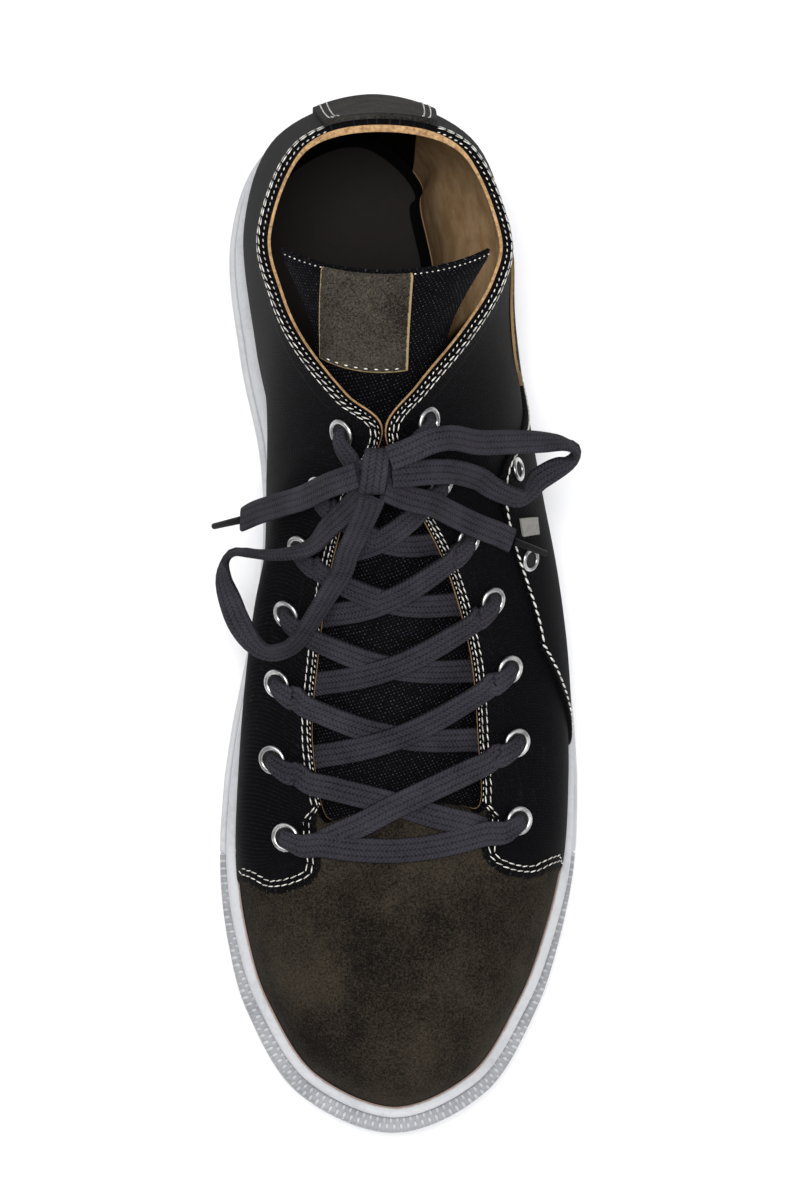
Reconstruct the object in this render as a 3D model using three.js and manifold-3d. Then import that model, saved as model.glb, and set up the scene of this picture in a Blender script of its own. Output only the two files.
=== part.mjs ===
import * as THREE from "three";
import { mergeVertices } from "three/addons/utils/BufferGeometryUtils.js";
import Module from "manifold-3d";

// A left high top sneaker, standing empty on its sole. Millimetres, +Z up, toe towards -Y, outer side
// towards +X. The origin is on the floor, under the middle of the rubber's outline.

const wasm = await Module();
wasm.setup();

// Overall sizes
const length = 300;
const ballWidth = 104;
const collarHeight = 132;

// Rubber
const soleHeight = 27;
const stripHeight = 12;
const treadHeight = 4;
const deckHeight = 12;
const toeSpring = 9;
const archLift = 1.6;
const foxingLip = 3.2;
const stripProud = 1.7;
const bumperProud = 4;
const bumperHeight = 22;
const bumperRound = 1.5;
const grooveDepth = 0.8;
const treadChamfer = 1.2;
const lugGrooveWidth = 4;
const lugGrooveDepth = 1.6;

// Upper and what lies on it
const wallThickness = 2.2;
const quarterStep = 0.8;
const bandStep = 0.6;
const bandWidth = 7.6;
const patchThickness = 1.2;
const insoleThickness = 4;
const tongueThickness = 2.4;
const labelThickness = 1.2;
const labelWidth = 24;
const labelHeight = 30;
const labelShift = 5.3;
const labelDrop = 0.3;

// Laces, flat
const laceWidth = 7;
const laceThickness = 1.6;
const laceJoin = 0.4;
const laceStep = 5.5;
const laceSag = 4;
const knotWidth = 8;
const knotLength = 13;
const knotThickness = 7;
const agletRadius = 1.1;
const agletLength = 14;

// Metal
const eyeletOuter = 4.2;
const eyeletHole = 2.4;
const eyeletHeight = 0.9;
const eyeletPitch = 22.3;
const eyeletCount = 7;
const eyeletInset = 13;

// Gap between pieces that touch, more where a flat piece lies on the curved wall
const clearance = 0.3;
const wallClearance = 0.7;

const up = new THREE.Vector3(0, 0, 1);
const degree = Math.PI / 180;

// Each rib runs up the wall from the sole's edge to the edge of the opening, round the shoe from the heel by
// the outer side to the toe and back. Along is a share of the length from the heel, out a share of the ball
// width from the middle line, edgeUp a share of the collar height, lean the wall's outward slope over the
// rubber, and fall the slope in degrees by which the wall leaves the opening.
const ribColumns = ["along", "out", "edgeAlong", "edgeOut", "edgeUp", "lean", "fall"];
const ribRows = [
  [0.000, -0.066, 0.094, -0.070, 1.000, 0.04, 76],
  [0.040, 0.215, 0.114, 0.150, 0.995, 0.06, 80],
  [0.130, 0.318, 0.190, 0.255, 0.985, 0.08, 86],
  [0.245, 0.348, 0.238, 0.236, 0.990, 0.08, 84],
  [0.340, 0.382, 0.287, 0.150, 1.008, 0.10, 70],
  [0.420, 0.422, 0.336, 0.035, 1.026, 0.12, 54],
  [0.490, 0.460, 0.378, -0.050, 1.045, 0.14, 46],
  [0.555, 0.493, 0.428, 0.022, 0.905, 0.12, 46],
  [0.615, 0.510, 0.486, 0.122, 0.757, 0.08, 45],
  [0.675, 0.515, 0.560, 0.193, 0.621, 0.05, 40],
  [0.745, 0.504, 0.635, 0.217, 0.530, 0.02, 34],
  [0.815, 0.460, 0.697, 0.222, 0.478, 0.00, 30],
  [0.885, 0.388, 0.696, 0.135, 0.498, -0.02, 22],
  [0.962, 0.245, 0.698, 0.065, 0.506, -0.03, 18],
  [1.000, -0.008, 0.700, -0.005, 0.508, -0.03, 17],
  [0.962, -0.268, 0.703, -0.075, 0.504, -0.03, 18],
  [0.885, -0.408, 0.706, -0.142, 0.494, -0.02, 22],
  [0.815, -0.464, 0.705, -0.212, 0.474, 0.00, 30],
  [0.745, -0.486, 0.635, -0.249, 0.522, 0.02, 34],
  [0.675, -0.478, 0.562, -0.236, 0.606, 0.04, 40],
  [0.615, -0.456, 0.490, -0.208, 0.742, 0.07, 46],
  [0.555, -0.422, 0.430, -0.158, 0.900, 0.10, 48],
  [0.490, -0.386, 0.378, -0.083, 1.045, 0.12, 46],
  [0.420, -0.365, 0.345, -0.175, 1.026, 0.12, 56],
  [0.340, -0.374, 0.297, -0.283, 1.008, 0.08, 72],
  [0.245, -0.428, 0.250, -0.345, 0.994, 0.05, 84],
  [0.130, -0.456, 0.190, -0.376, 0.985, 0.05, 86],
  [0.040, -0.352, 0.114, -0.280, 0.995, 0.06, 80],
];

// The tongue's middle line from under the vamp to its top edge: along and middle place it, up is its height,
// half its half width and radius the bend of its section, as shares of the ball width.
const tongueColumns = ["along", "middle", "up", "half", "radius"];
const tongueRows = [
  [0.755, -0.010, 0.440, 0.200, 0.700],
  [0.705, -0.010, 0.471, 0.230, 0.520],
  [0.640, -0.015, 0.527, 0.265, 0.420],
  [0.570, -0.022, 0.612, 0.275, 0.370],
  [0.500, -0.040, 0.712, 0.265, 0.300],
  [0.430, -0.058, 0.838, 0.240, 0.240],
  [0.370, -0.071, 0.948, 0.205, 0.195],
  [0.303, -0.072, 1.075, 0.217, 0.212],
  [0.245, -0.064, 1.195, 0.300, 0.400],
];

// How far the wall's handles reach, as shares of a rib's chord
const lowHandle = 0.38;
const highHandle = 0.4;

// Rows of the grids that the wall and its overlays are made from
const ribSteps = 2;
const wallRows = 6;

const ribCount = ribRows.length;

// Smooth curve through a column's values. Rows before the first and after the last repeat them, or go round.
function columnAt(rows, columns, name, place, round) {
  const column = columns.indexOf(name);
  const first = Math.floor(place);
  const part = place - first;
  const value = (row) => {
    const index = round ? ((row % rows.length) + rows.length) % rows.length : clamp(row, 0, rows.length - 1);
    return rows[index][column];
  };
  const [a, b, c, d] = [value(first - 1), value(first), value(first + 1), value(first + 2)];
  const linear = (c - a) / 2;
  const square = a - 2.5 * b + 2 * c - d / 2;
  const cubic = (d - a) / 2 + 1.5 * (b - c);
  return b + part * (linear + part * (square + part * cubic));
}

function clamp(value, low, high) {
  return Math.min(high, Math.max(low, value));
}

const rib = (name, u) => columnAt(ribRows, ribColumns, name, u, true);

// The outline's own reach, so that it fills the length and the width exactly and is centred on the origin
const reach = { alongLow: Infinity, alongHigh: -Infinity, outLow: Infinity, outHigh: -Infinity };
for (let step = 0; step < ribCount * 20; step += 1) {
  const along = rib("along", step / 20);
  const out = rib("out", step / 20);
  reach.alongLow = Math.min(reach.alongLow, along);
  reach.alongHigh = Math.max(reach.alongHigh, along);
  reach.outLow = Math.min(reach.outLow, out);
  reach.outHigh = Math.max(reach.outHigh, out);
}

function placeX(out) {
  return ballWidth * (out - (reach.outLow + reach.outHigh) / 2) / (reach.outHigh - reach.outLow);
}

function placeY(along) {
  return length * ((reach.alongLow + reach.alongHigh) / 2 - along) / (reach.alongHigh - reach.alongLow);
}

// Height of the whole sole over the floor: flat from the heel to the ball, the toe sprung up
function lift(y) {
  const toe = clamp((0.5 - y / length - 0.73) / 0.27, 0, 1);
  return toeSpring * toe * toe;
}

// The shallow arch of the tread's underside between heel and ball
function archUnder(u) {
  const share = clamp((0.5 - outline(u).point.y / length - 0.3) / 0.25, 0, 1);
  return archLift * Math.sin(Math.PI * share) ** 2;
}

// A point of the sole's outline and the outline's outward direction there
function outline(u) {
  const at = (v) => new THREE.Vector2(placeX(rib("out", v)), placeY(rib("along", v)));
  const ahead = at(u + 0.02).sub(at(u - 0.02)).normalize();
  return { point: at(u), outward: new THREE.Vector3(-ahead.y, ahead.x, 0) };
}

// A point inside the outline by inset, at a height over the sole's underside
function insetPoint(u, inset, height) {
  const { point, outward } = outline(u);
  const x = point.x - outward.x * inset;
  const y = point.y - outward.y * inset;
  return new THREE.Vector3(x, y, lift(y) + height);
}

// How far the lower strip stands out from the rubber band above it, more round the toe
function stripReach(u) {
  const toe = clamp(1 - Math.abs(u - ribCount / 2) / 4.5, 0, 1);
  return stripProud + (bumperProud - stripProud) * toe * toe * (3 - 2 * toe);
}

const lipInset = (u) => stripReach(u) + foxingLip;

// A point of the upper's outer face. v is 0 just over the rubber and 1 at the opening's edge.
function wallPoint(u, v) {
  const { outward } = outline(u);
  const foot = insetPoint(u, lipInset(u) + clearance, soleHeight + clearance);
  if (v < 0) {
    return foot.addScaledVector(up, v * (soleHeight - deckHeight));
  }
  const edge = new THREE.Vector3(placeX(rib("edgeOut", u)), placeY(rib("edgeAlong", u)), 0);
  edge.z = rib("edgeUp", u) * collarHeight;
  const chord = foot.distanceTo(edge);
  const fall = rib("fall", u) * degree;
  const low = foot.clone().addScaledVector(up, lowHandle * chord);
  low.addScaledVector(outward, lowHandle * chord * rib("lean", u));
  const high = edge.clone().addScaledVector(outward, highHandle * chord * Math.cos(fall));
  high.addScaledVector(up, -highHandle * chord * Math.sin(fall));
  return new THREE.CubicBezierCurve3(foot, low, high, edge).getPoint(v);
}

// The upper's outward direction
function wallNormal(u, v) {
  const held = clamp(v, 0.02, 0.98);
  const across = wallPoint(u + 0.05, held).sub(wallPoint(u - 0.05, held));
  const along = wallPoint(u, held + 0.02).sub(wallPoint(u, held - 0.02));
  return v < 0 ? outline(u).outward : along.cross(across).normalize();
}

const offWall = (u, v, offset) => wallPoint(u, v).addScaledVector(wallNormal(u, v), offset);

// The share v that lies a distance down the rib from the opening's edge
function below(u, distance) {
  const steps = 40;
  let gone = 0;
  let last = wallPoint(u, 1);
  for (let step = 1; step < steps; step += 1) {
    const next = wallPoint(u, 1 - step / steps);
    const part = next.distanceTo(last);
    if (gone + part > distance) {
      return 1 - (step - 1 + (distance - gone) / part) / steps;
    }
    gone += part;
    last = next;
  }
  return 0;
}

// A solid through a row of closed sections with equal numbers of points, as a ring or with its ends closed
function loft(sections, ring) {
  const count = sections[0].length;
  const positions = sections.flat().flatMap((point) => [point.x, point.y, point.z]);
  const triangles = [];
  const quad = (a, b, c, d) => triangles.push(a, b, c, a, c, d);
  const last = ring ? sections.length : sections.length - 1;
  for (let row = 0; row < last; row += 1) {
    const here = row * count;
    const there = ((row + 1) % sections.length) * count;
    for (let i = 0; i < count; i += 1) {
      const next = (i + 1) % count;
      quad(here + i, here + next, there + next, there + i);
    }
  }
  if (!ring) {
    const end = (sections.length - 1) * count;
    for (let i = 0; i < count / 2 - 1; i += 1) {
      const mate = count - 1 - i;
      quad(i, mate, mate - 1, i + 1);
      quad(end + i, end + i + 1, end + mate - 1, end + mate);
    }
  }
  return solid(positions, triangles);
}

// A manifold solid with its faces turned outwards
function solid(positions, triangles) {
  let volume = 0;
  const corner = (index) => new THREE.Vector3().fromArray(positions, index * 3);
  for (let i = 0; i < triangles.length; i += 3) {
    volume += corner(triangles[i]).dot(corner(triangles[i + 1]).cross(corner(triangles[i + 2])));
  }
  const turned = volume < 0 ? triangles.toReversed() : triangles;
  const mesh = { numProp: 3, vertProperties: new Float32Array(positions), triVerts: new Uint32Array(turned) };
  return new wasm.Manifold(new wasm.Mesh(mesh));
}

function solidOf(geometry) {
  geometry.deleteAttribute("normal");
  geometry.deleteAttribute("uv");
  const merged = mergeVertices(geometry, 1e-4);
  return solid(Array.from(merged.attributes.position.array), Array.from(merged.index.array));
}

function geometryOf(body) {
  const mesh = body.getMesh();
  const geometry = new THREE.BufferGeometry();
  const points = [];
  for (let i = 0; i < mesh.vertProperties.length; i += mesh.numProp) {
    points.push(mesh.vertProperties[i], mesh.vertProperties[i + 1], mesh.vertProperties[i + 2]);
  }
  geometry.setAttribute("position", new THREE.Float32BufferAttribute(points, 3));
  geometry.setIndex(Array.from(mesh.triVerts));
  return geometry;
}

// Places round the shoe, halfway between even steps, so that the two sides' points face each other
function roundPlaces(steps) {
  return Array.from({ length: ribCount * steps }, (_, index) => (index + 0.5) / steps);
}

// A ring of rubber with the same profile all round, as pairs of inset and height
function rubberRing(profile, steps) {
  const section = (u) => profile(u).map(([inset, height]) => insetPoint(u, inset, height));
  return loft(roundPlaces(steps).map(section), true);
}

// A slab inside the outline, through loops whose inset and height are functions of the place, from below
function slab(profile, steps) {
  const loop = ([inset, height]) => roundPlaces(steps).map((u) => insetPoint(u, inset(u), height(u)));
  return loft(profile.map(loop), false);
}

const always = (value) => () => value;

// Even stops from 0 to 1
const even = (rows) => Array.from({ length: rows + 1 }, (_, row) => row / rows);

// A layer of the wall between two offsets. from and to are places round the shoe, low and high the shares
// of v that the stops 0 and 1 stand for; a stop below 0 goes down inside the rubber, and rise lifts a stop.
function layer({ from, to, low, high, inner, outer, columns, stops, ring, rise = always(0) }) {
  const sections = [];
  const count = ring ? columns : columns + 1;
  for (let column = 0; column < count; column += 1) {
    const part = column / columns;
    const face = (offset) => stops.map((stop) => {
      const u = from(stop) + part * (to(stop) - from(stop));
      return offWall(u, stop < 0 ? stop : low(u) + stop * (high(u) - low(u)), offset + rise(stop));
    });
    sections.push([...face(outer), ...face(inner).reverse()]);
  }
  return loft(sections, ring);
}

// Outsole: a tread layer out to the strip, and a core that fills the cup of the foxing
function makeOutsole() {
  const core = (u) => lipInset(u) + clearance;
  const body = slab([
    [always(treadChamfer + clearance), archUnder],
    [always(clearance), (u) => treadChamfer + archUnder(u)],
    [always(clearance), always(treadHeight)],
    [core, always(treadHeight)],
    [core, always(deckHeight)],
  ], ribSteps);
  const cuts = [];
  const zones = [{ start: 0.08, end: 0.24, count: 4 }, { start: 0.6, end: 0.86, count: 6 }];
  for (const zone of zones) {
    for (let i = 0; i < zone.count; i += 1) {
      const y = placeY(zone.start + (zone.end - zone.start) * i / (zone.count - 1));
      const groove = new THREE.BoxGeometry(ballWidth * 1.1, lugGrooveWidth, lugGrooveDepth * 2);
      groove.translate(0, y, lift(y));
      cuts.push(solidOf(groove));
    }
  }
  return cuts.reduce((left, cut) => left.subtract(cut), body);
}

// Foxing: the light band round the shoe, a groove, and the lower strip, which the bumper takes the place of
const bumperHalf = 4.2;
const bumperFrom = ribCount / 2 - bumperHalf;
const bumperTo = ribCount / 2 + bumperHalf;

function makeFoxing() {
  const bottom = treadHeight + clearance;
  const profile = (u) => {
    const band = stripReach(u);
    return [
      [clearance, bottom],
      [0, bottom + 1],
      [0, stripHeight - 1],
      [1, stripHeight],
      [band + grooveDepth, stripHeight],
      [band, stripHeight + grooveDepth],
      [band + 0.2, soleHeight - 1.2],
      [band + 1.2, soleHeight],
      [lipInset(u), soleHeight],
      [lipInset(u), bottom],
    ];
  };
  const cutter = bumperSection(bumperFrom - 0.03, bumperTo + 0.03, (u) => stripReach(u), clearance);
  return rubberRing(profile, ribSteps).subtract(cutter);
}

// The bumper's solid, or the room for it, from the outline in to a depth
function bumperSection(from, to, depth, gap) {
  const columns = 28;
  const bottom = treadHeight + clearance - gap;
  return loft(Array.from({ length: columns + 1 }, (_, column) => {
    const u = from + (to - from) * column / columns;
    const height = bumperTop(u) + gap;
    const outer = gap > 0 ? -1 : 0;
    const shoulder = height - bumperRound;
    return [
      insetPoint(u, depth(u), bottom),
      insetPoint(u, outer, bottom),
      insetPoint(u, outer, (bottom + shoulder) / 2),
      insetPoint(u, outer, shoulder),
      insetPoint(u, outer + 1, height),
      insetPoint(u, depth(u), height),
    ];
  }), false);
}

function bumperTop(u) {
  const toe = clamp(1 - Math.abs(u - ribCount / 2) / bumperHalf, 0, 1);
  return stripHeight + (bumperHeight - stripHeight) * Math.sin(toe * Math.PI / 2) ** 1.5;
}

function makeBumper() {
  return bumperSection(bumperFrom, bumperTo, (u) => stripReach(u) - clearance, 0);
}

function makeInsole() {
  const inset = (u) => lipInset(u) + 3 * clearance + wallThickness;
  return slab([
    [inset, always(deckHeight + clearance)],
    [inset, always(deckHeight + clearance + insoleThickness - 1)],
    [(u) => inset(u) + 1.5, always(deckHeight + clearance + insoleThickness)],
  ], ribSteps);
}

// Corners of the opening, where the throat's sides meet the vamp's edge
const throatOuter = 11;
const throatInner = 17;

// How far the room over the vamp's skin reaches round the toe on either side, in ribs
const vampHalf = 5;

// Front edge of the quarters seen from above, in shares of length and ball width
const quarterFront = [
  [0.760, -0.60], [0.760, -0.44], [0.778, -0.35], [0.769, -0.25], [0.748, -0.218], [0.69, -0.222],
  [0.66, 0], [0.69, 0.230], [0.738, 0.240], [0.754, 0.29], [0.764, 0.36], [0.748, 0.456], [0.744, 0.60],
];

// The wall's section at a place: the quarter's step all the way up, the band's further step along the
// opening's edge, and a plain inner face
function wallSection(u) {
  const banded = u < throatOuter + 0.5 || u > throatInner - 0.5;
  const bandOffset = quarterStep + (banded ? bandStep : 0);
  const bandLow = below(u, bandWidth);
  const bandFoot = below(u, bandWidth + bandStep);
  const outer = even(wallRows).map((share) => offWall(u, share * bandFoot, quarterStep));
  const inner = even(wallRows).map((share) => offWall(u, 1 - share, -wallThickness));
  return [
    offWall(u, -1, 0),
    offWall(u, 0, 0),
    ...outer,
    offWall(u, bandLow, bandOffset),
    offWall(u, 1, bandOffset),
    ...inner,
    offWall(u, -1, -wallThickness),
  ];
}

function makeUpper() {
  const wall = loft(roundPlaces(ribSteps).map(wallSection), true);
  const toe = ribCount / 2 + roundPlaces(ribSteps)[0];
  const skin = layer({
    from: always(toe - vampHalf), to: always(toe + vampHalf), columns: 2 * vampHalf * ribSteps, ring: false,
    low: always(-0.03), high: always(1.04), inner: 0, outer: quarterStep + 1, stops: even(wallRows),
  });
  const corners = quarterFront.map(([along, out]) => new THREE.Vector2(placeX(out), placeY(along)));
  const shape = new THREE.Shape(corners);
  shape.lineTo(placeX(0.6), placeY(1.05));
  shape.lineTo(placeX(-0.6), placeY(1.05));
  const front = solidOf(new THREE.ExtrudeGeometry(shape, { depth: collarHeight, bevelEnabled: false }));
  const holes = [...eyelets, ...vents].map(({ place: [u, v] }) => drill(u, v));
  return holes.reduce((left, hole) => left.subtract(hole), wall.subtract(skin.intersect(front)));
}

// Places of one side's eyelets: even steps along a line inside the opening's edge, from its front end
function eyeletRow(start, turn) {
  const places = [start];
  let u = start;
  let gone = 0;
  let last = wallPoint(u, below(u, eyeletInset));
  while (places.length < eyeletCount) {
    u += turn * 0.02;
    const next = wallPoint(u, below(u, eyeletInset));
    gone += next.distanceTo(last);
    last = next;
    if (gone >= eyeletPitch) {
      places.push(u);
      gone -= eyeletPitch;
    }
  }
  return places.map((place) => [place, below(place, eyeletInset)]);
}

// The rings that the laces run through, from the toe up, and two vents in the rear panel
const outerRow = eyeletRow(throatOuter - 0.2, -1);
const innerRow = eyeletRow(throatInner, 1);
const panelOuter = quarterStep + clearance + patchThickness;
const ventPlaces = [[6.92, 0.555], [5.6, 0.57]];

const rings = (row, name, seat) => row.map((place, index) => ({ name: `${name}_${index + 1}`, place, seat }));
const eyelets = [
  ...rings(outerRow, "eyelet_outer", quarterStep),
  ...rings(innerRow, "eyelet_inner", quarterStep),
];
const vents = rings(ventPlaces, "vent", panelOuter - clearance);

// Turns a body made round the Z axis so that it stands on the wall at an offset
function onWall(body, u, v, offset) {
  const turn = new THREE.Quaternion().setFromUnitVectors(up, wallNormal(u, v));
  const matrix = new THREE.Matrix4().compose(offWall(u, v, offset), turn, new THREE.Vector3(1, 1, 1));
  return body.transform(matrix.toArray());
}

const roundSides = 8;

function drill(u, v) {
  const depth = 4 * wallThickness + 2 * panelOuter;
  const pin = new THREE.CylinderGeometry(eyeletHole, eyeletHole, depth, roundSides);
  return onWall(solidOf(pin.rotateX(Math.PI / 2)), u, v, 0);
}

// A pressed ring, rounded on top
function makeEyelet({ place: [u, v], seat }) {
  const profile = [
    [eyeletHole, 0], [eyeletOuter, 0], [eyeletOuter - eyeletHeight, eyeletHeight], [eyeletHole, eyeletHeight],
    [eyeletHole, 0],
  ];
  const points = profile.map(([radius, height]) => new THREE.Vector2(radius, height));
  const ring = new THREE.LatheGeometry(points, roundSides).rotateX(Math.PI / 2);
  return onWall(solidOf(ring), u, v, seat + clearance + wallClearance);
}

// A patch of the given thickness on the wall
function wallPatch(options) {
  const inner = options.seat + clearance;
  return layer({ ...options, ring: false, inner, outer: inner + patchThickness });
}

// Half the heel strip's width, in ribs, and its stops up the wall, the last two on the edge band
const stripHalf = 0.56;
const stripStops = [0.02, ...even(wallRows).slice(1), 1.012, 1.08];

function makeHeelStrip() {
  return wallPatch({
    from: always(-stripHalf), to: always(stripHalf), columns: 3, seat: quarterStep + 0.1,
    low: always(0), high: (u) => below(u, bandWidth + 2 * bandStep),
    stops: stripStops, rise: (stop) => (stop > 1 ? bandStep : 0),
  });
}

// The outer rear panel, whose upper edge runs as a share of the wall's height from rib to rib
const panelColumns = ["top"];
const panelTop = [[0.12], [0.12], [0.13], [0.17], [0.38], [0.56], [0.64], [0.65], [0.58]];
const panelFront = 8.25;

function makeRearPanel() {
  const panel = wallPatch({
    from: always(stripHalf + 0.06), to: always(panelFront), columns: 15, seat: quarterStep + 0.3,
    low: always(0.02), high: (u) => columnAt(panelTop, panelColumns, "top", u, false), stops: even(4),
  });
  return vents.reduce((left, { place: [u, v] }) => left.subtract(drill(u, v)), panel);
}

function makeAnklePatch() {
  const [middle, half] = [2.95, 0.75];
  const reach = (u) => 0.15 * (0.4 + 0.6 * Math.sqrt(Math.max(0, 1 - ((u - middle) / half) ** 2)));
  return wallPatch({
    from: always(middle - half), to: always(middle + half), columns: 6, seat: quarterStep + 0.2,
    low: (u) => 0.42 - reach(u), high: (u) => 0.42 + reach(u), stops: even(2),
  });
}

// A short slanting tab over the panel's upper edge
const tabFoot = { u: 6.02, v: 0.47 };
const tabHead = { u: 6.42, v: 0.58 };
const tabWidth = 0.25;

function makeSideTab() {
  const start = (stop) => tabFoot.u + stop * (tabHead.u - tabFoot.u);
  return wallPatch({
    from: start, to: (stop) => start(stop) + tabWidth, columns: 1, seat: panelOuter + clearance,
    low: always(tabFoot.v), high: always(tabHead.v), stops: even(2),
  });
}

// A point of the tongue: s runs up it from row to row, w across it from -1 to 1
function tonguePoint(s, w, offset) {
  const at = (name, place) => columnAt(tongueRows, tongueColumns, name, place, false);
  const middle = (place) => new THREE.Vector3(
    placeX(at("middle", place)), placeY(at("along", place)), at("up", place) * collarHeight);
  const ahead = middle(s + 0.05).sub(middle(s - 0.05)).normalize();
  const out = new THREE.Vector3(1, 0, 0).cross(ahead).normalize();
  const radius = at("radius", s) * ballWidth;
  const angle = w * at("half", s) * ballWidth / radius;
  const point = middle(s);
  point.x += (radius + offset) * Math.sin(angle);
  return point.addScaledVector(out, (radius + offset) * Math.cos(angle) - radius);
}

// A layer of the tongue between two offsets, from row to row and between two places across it
function tongueLayer({ from, to, left, right, inner, outer, columns, rows }) {
  return loft(even(rows).map((share) => {
    const s = from + (to - from) * share;
    const across = even(columns).map((part) => left(s) + (right(s) - left(s)) * part);
    const face = (offset) => across.map((w) => tonguePoint(s, w, offset));
    return [...face(outer), ...face(inner).reverse()];
  }), false);
}

const tongueFoot = 0.3;
const tongueTop = tongueRows.length - 1;

function makeTongue() {
  return tongueLayer({
    from: tongueFoot, to: tongueTop, left: always(-1), right: always(1), inner: -tongueThickness, outer: 0,
    columns: 8, rows: 20,
  });
}

// A blank label down from the tongue's upper edge
function makeLabel() {
  const rowPitch = tonguePoint(tongueTop, 0, 0).distanceTo(tonguePoint(tongueTop - 1, 0, 0));
  const half = (s) => ballWidth * columnAt(tongueRows, tongueColumns, "half", s, false);
  const across = (place) => (s) => place / half(s);
  const inner = clearance + 0.3;
  return tongueLayer({
    from: tongueTop - (labelDrop + labelHeight) / rowPitch, to: tongueTop - labelDrop / rowPitch,
    left: across(-labelShift - labelWidth / 2), right: across(-labelShift + labelWidth / 2),
    inner, outer: inner + labelThickness, columns: 3, rows: 4,
  });
}

// The place of a surface of two shares that lies under or over a plan point, found by Newton's steps
function surfaceAt(surface, [firstA, firstB], x, y) {
  let [a, b] = [firstA, firstB];
  const small = 0.01;
  let [alongA, alongB] = [up, up];
  for (let step = 0; step < 8; step += 1) {
    const here = surface(a, b);
    alongA = surface(a + small, b).sub(here).divideScalar(small);
    alongB = surface(a, b + small).sub(here).divideScalar(small);
    const area = alongA.x * alongB.y - alongA.y * alongB.x;
    const [dx, dy] = [x - here.x, y - here.y];
    a += (dx * alongB.y - dy * alongB.x) / area;
    b += (dy * alongA.x - dx * alongA.y) / area;
  }
  const facing = alongA.clone().cross(alongB).normalize();
  return { point: surface(a, b), facing: facing.z < 0 ? facing.negate() : facing };
}

// A flat strand of lace through a row of places, each a point on its middle line and the way its face looks
function strand(places) {
  return loft(places.map(({ point, facing }, index) => {
    const ahead = places[Math.min(index + 1, places.length - 1)].point.clone();
    ahead.sub(places[Math.max(index - 1, 0)].point);
    const across = ahead.cross(facing).normalize().multiplyScalar(laceWidth / 2);
    const raise = facing.clone().multiplyScalar(laceThickness / 2);
    return [
      point.clone().add(across).add(raise),
      point.clone().sub(across).add(raise),
      point.clone().sub(across).sub(raise),
      point.clone().add(across).sub(raise),
    ];
  }), false);
}

const laceRise = laceThickness / 2 + 1.5 * clearance;
const overEyelet = quarterStep + clearance + wallClearance + eyeletHeight + laceRise + clearance;
const overBand = quarterStep + bandStep + laceRise + 1.3 * wallClearance;

// A place on the wall for a strand
const wallPlace = (u, v, offset) => ({ point: offWall(u, v, offset), facing: wallNormal(u, v) });

// Where a strand to an eyelet goes under the other edge: level with the eyelet before, or short of the vamp
function edgePlace(row, index) {
  return index > 1 ? row[index - 1][0] : (row[0][0] + row[1][0]) / 2;
}

// About where up the tongue a place along the shoe lies
function tonguePlace(y) {
  const [foot, top] = [tongueRows[0][0], tongueRows[tongueTop][0]];
  return tongueTop * (0.5 - y / length - foot) / (top - foot);
}

// A strand from an eyelet over its own edge of the throat, across the tongue and in under the other edge
function crossStrand(row, otherRow, index, bump) {
  const [u, v] = row[index];
  const edgeU = u + 0.45 * (row[index - 1][0] - u);
  const start = [
    wallPlace(u, v, overEyelet),
    wallPlace(u + 0.5 * (edgeU - u), (1 + v) / 2, overBand),
    wallPlace(edgeU, 1, overBand),
  ];
  const far = edgePlace(otherRow, index);
  const edge = start[2].point;
  const under = offWall(far, 0.97, -wallThickness - laceRise);
  const tonguePlaces = [0.14, 0.3, 0.45, 0.6, 0.75, 0.88, 1].map((part) => {
    const wanted = edge.clone().lerp(under, part);
    wanted.y -= (index > 1 ? laceSag : 0) * Math.sin(Math.PI * part);
    const start = [tonguePlace(wanted.y), 0];
    const found = surfaceAt((a, b) => tonguePoint(a, b, laceRise), start, wanted.x, wanted.y);
    const point = found.point.z > wanted.z ? found.point : wanted;
    point.z += bump * Math.sin(Math.PI * part) ** 2;
    return { point, facing: found.facing };
  });
  return strand([...start, ...tonguePlaces]);
}

// Room of the wall's edge round an eyelet's level, which a strand stops short of
function edgeRoom(place) {
  return layer({
    from: always(place - 1.3), to: always(place + 1.3), columns: 10, ring: false, stops: even(3),
    low: always(0.6), high: always(1.02),
    inner: -4 * wallThickness, outer: quarterStep + bandStep + clearance,
  });
}

function makeCrossing(index) {
  const lower = crossStrand(innerRow, outerRow, index, 0).subtract(edgeRoom(edgePlace(outerRow, index)));
  const upper = crossStrand(outerRow, innerRow, index, laceThickness - laceJoin);
  return lower.add(upper.subtract(edgeRoom(edgePlace(innerRow, index))));
}

// The bar between the first two eyelets, over the vamp's edge
function makeBar() {
  const [inner, outer] = [innerRow[0], outerRow[0]];
  const [left, right] = [wallPlace(...inner, overEyelet), wallPlace(...outer, overEyelet)];
  const middle = even(8).slice(1, -1).map((part) => {
    const wanted = left.point.clone().lerp(right.point, part);
    wanted.y -= 1.5 * laceSag * Math.sin(Math.PI * part);
    const start = [inner[0] + part * (outer[0] - inner[0]), inner[1]];
    const offset = quarterStep + laceRise + 2 * eyeletHeight * (2 * part - 1) ** 2;
    return surfaceAt((u, v) => offWall(u, v, offset), start, wanted.x, wanted.y);
  });
  return strand([left, ...middle, right]);
}

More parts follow.
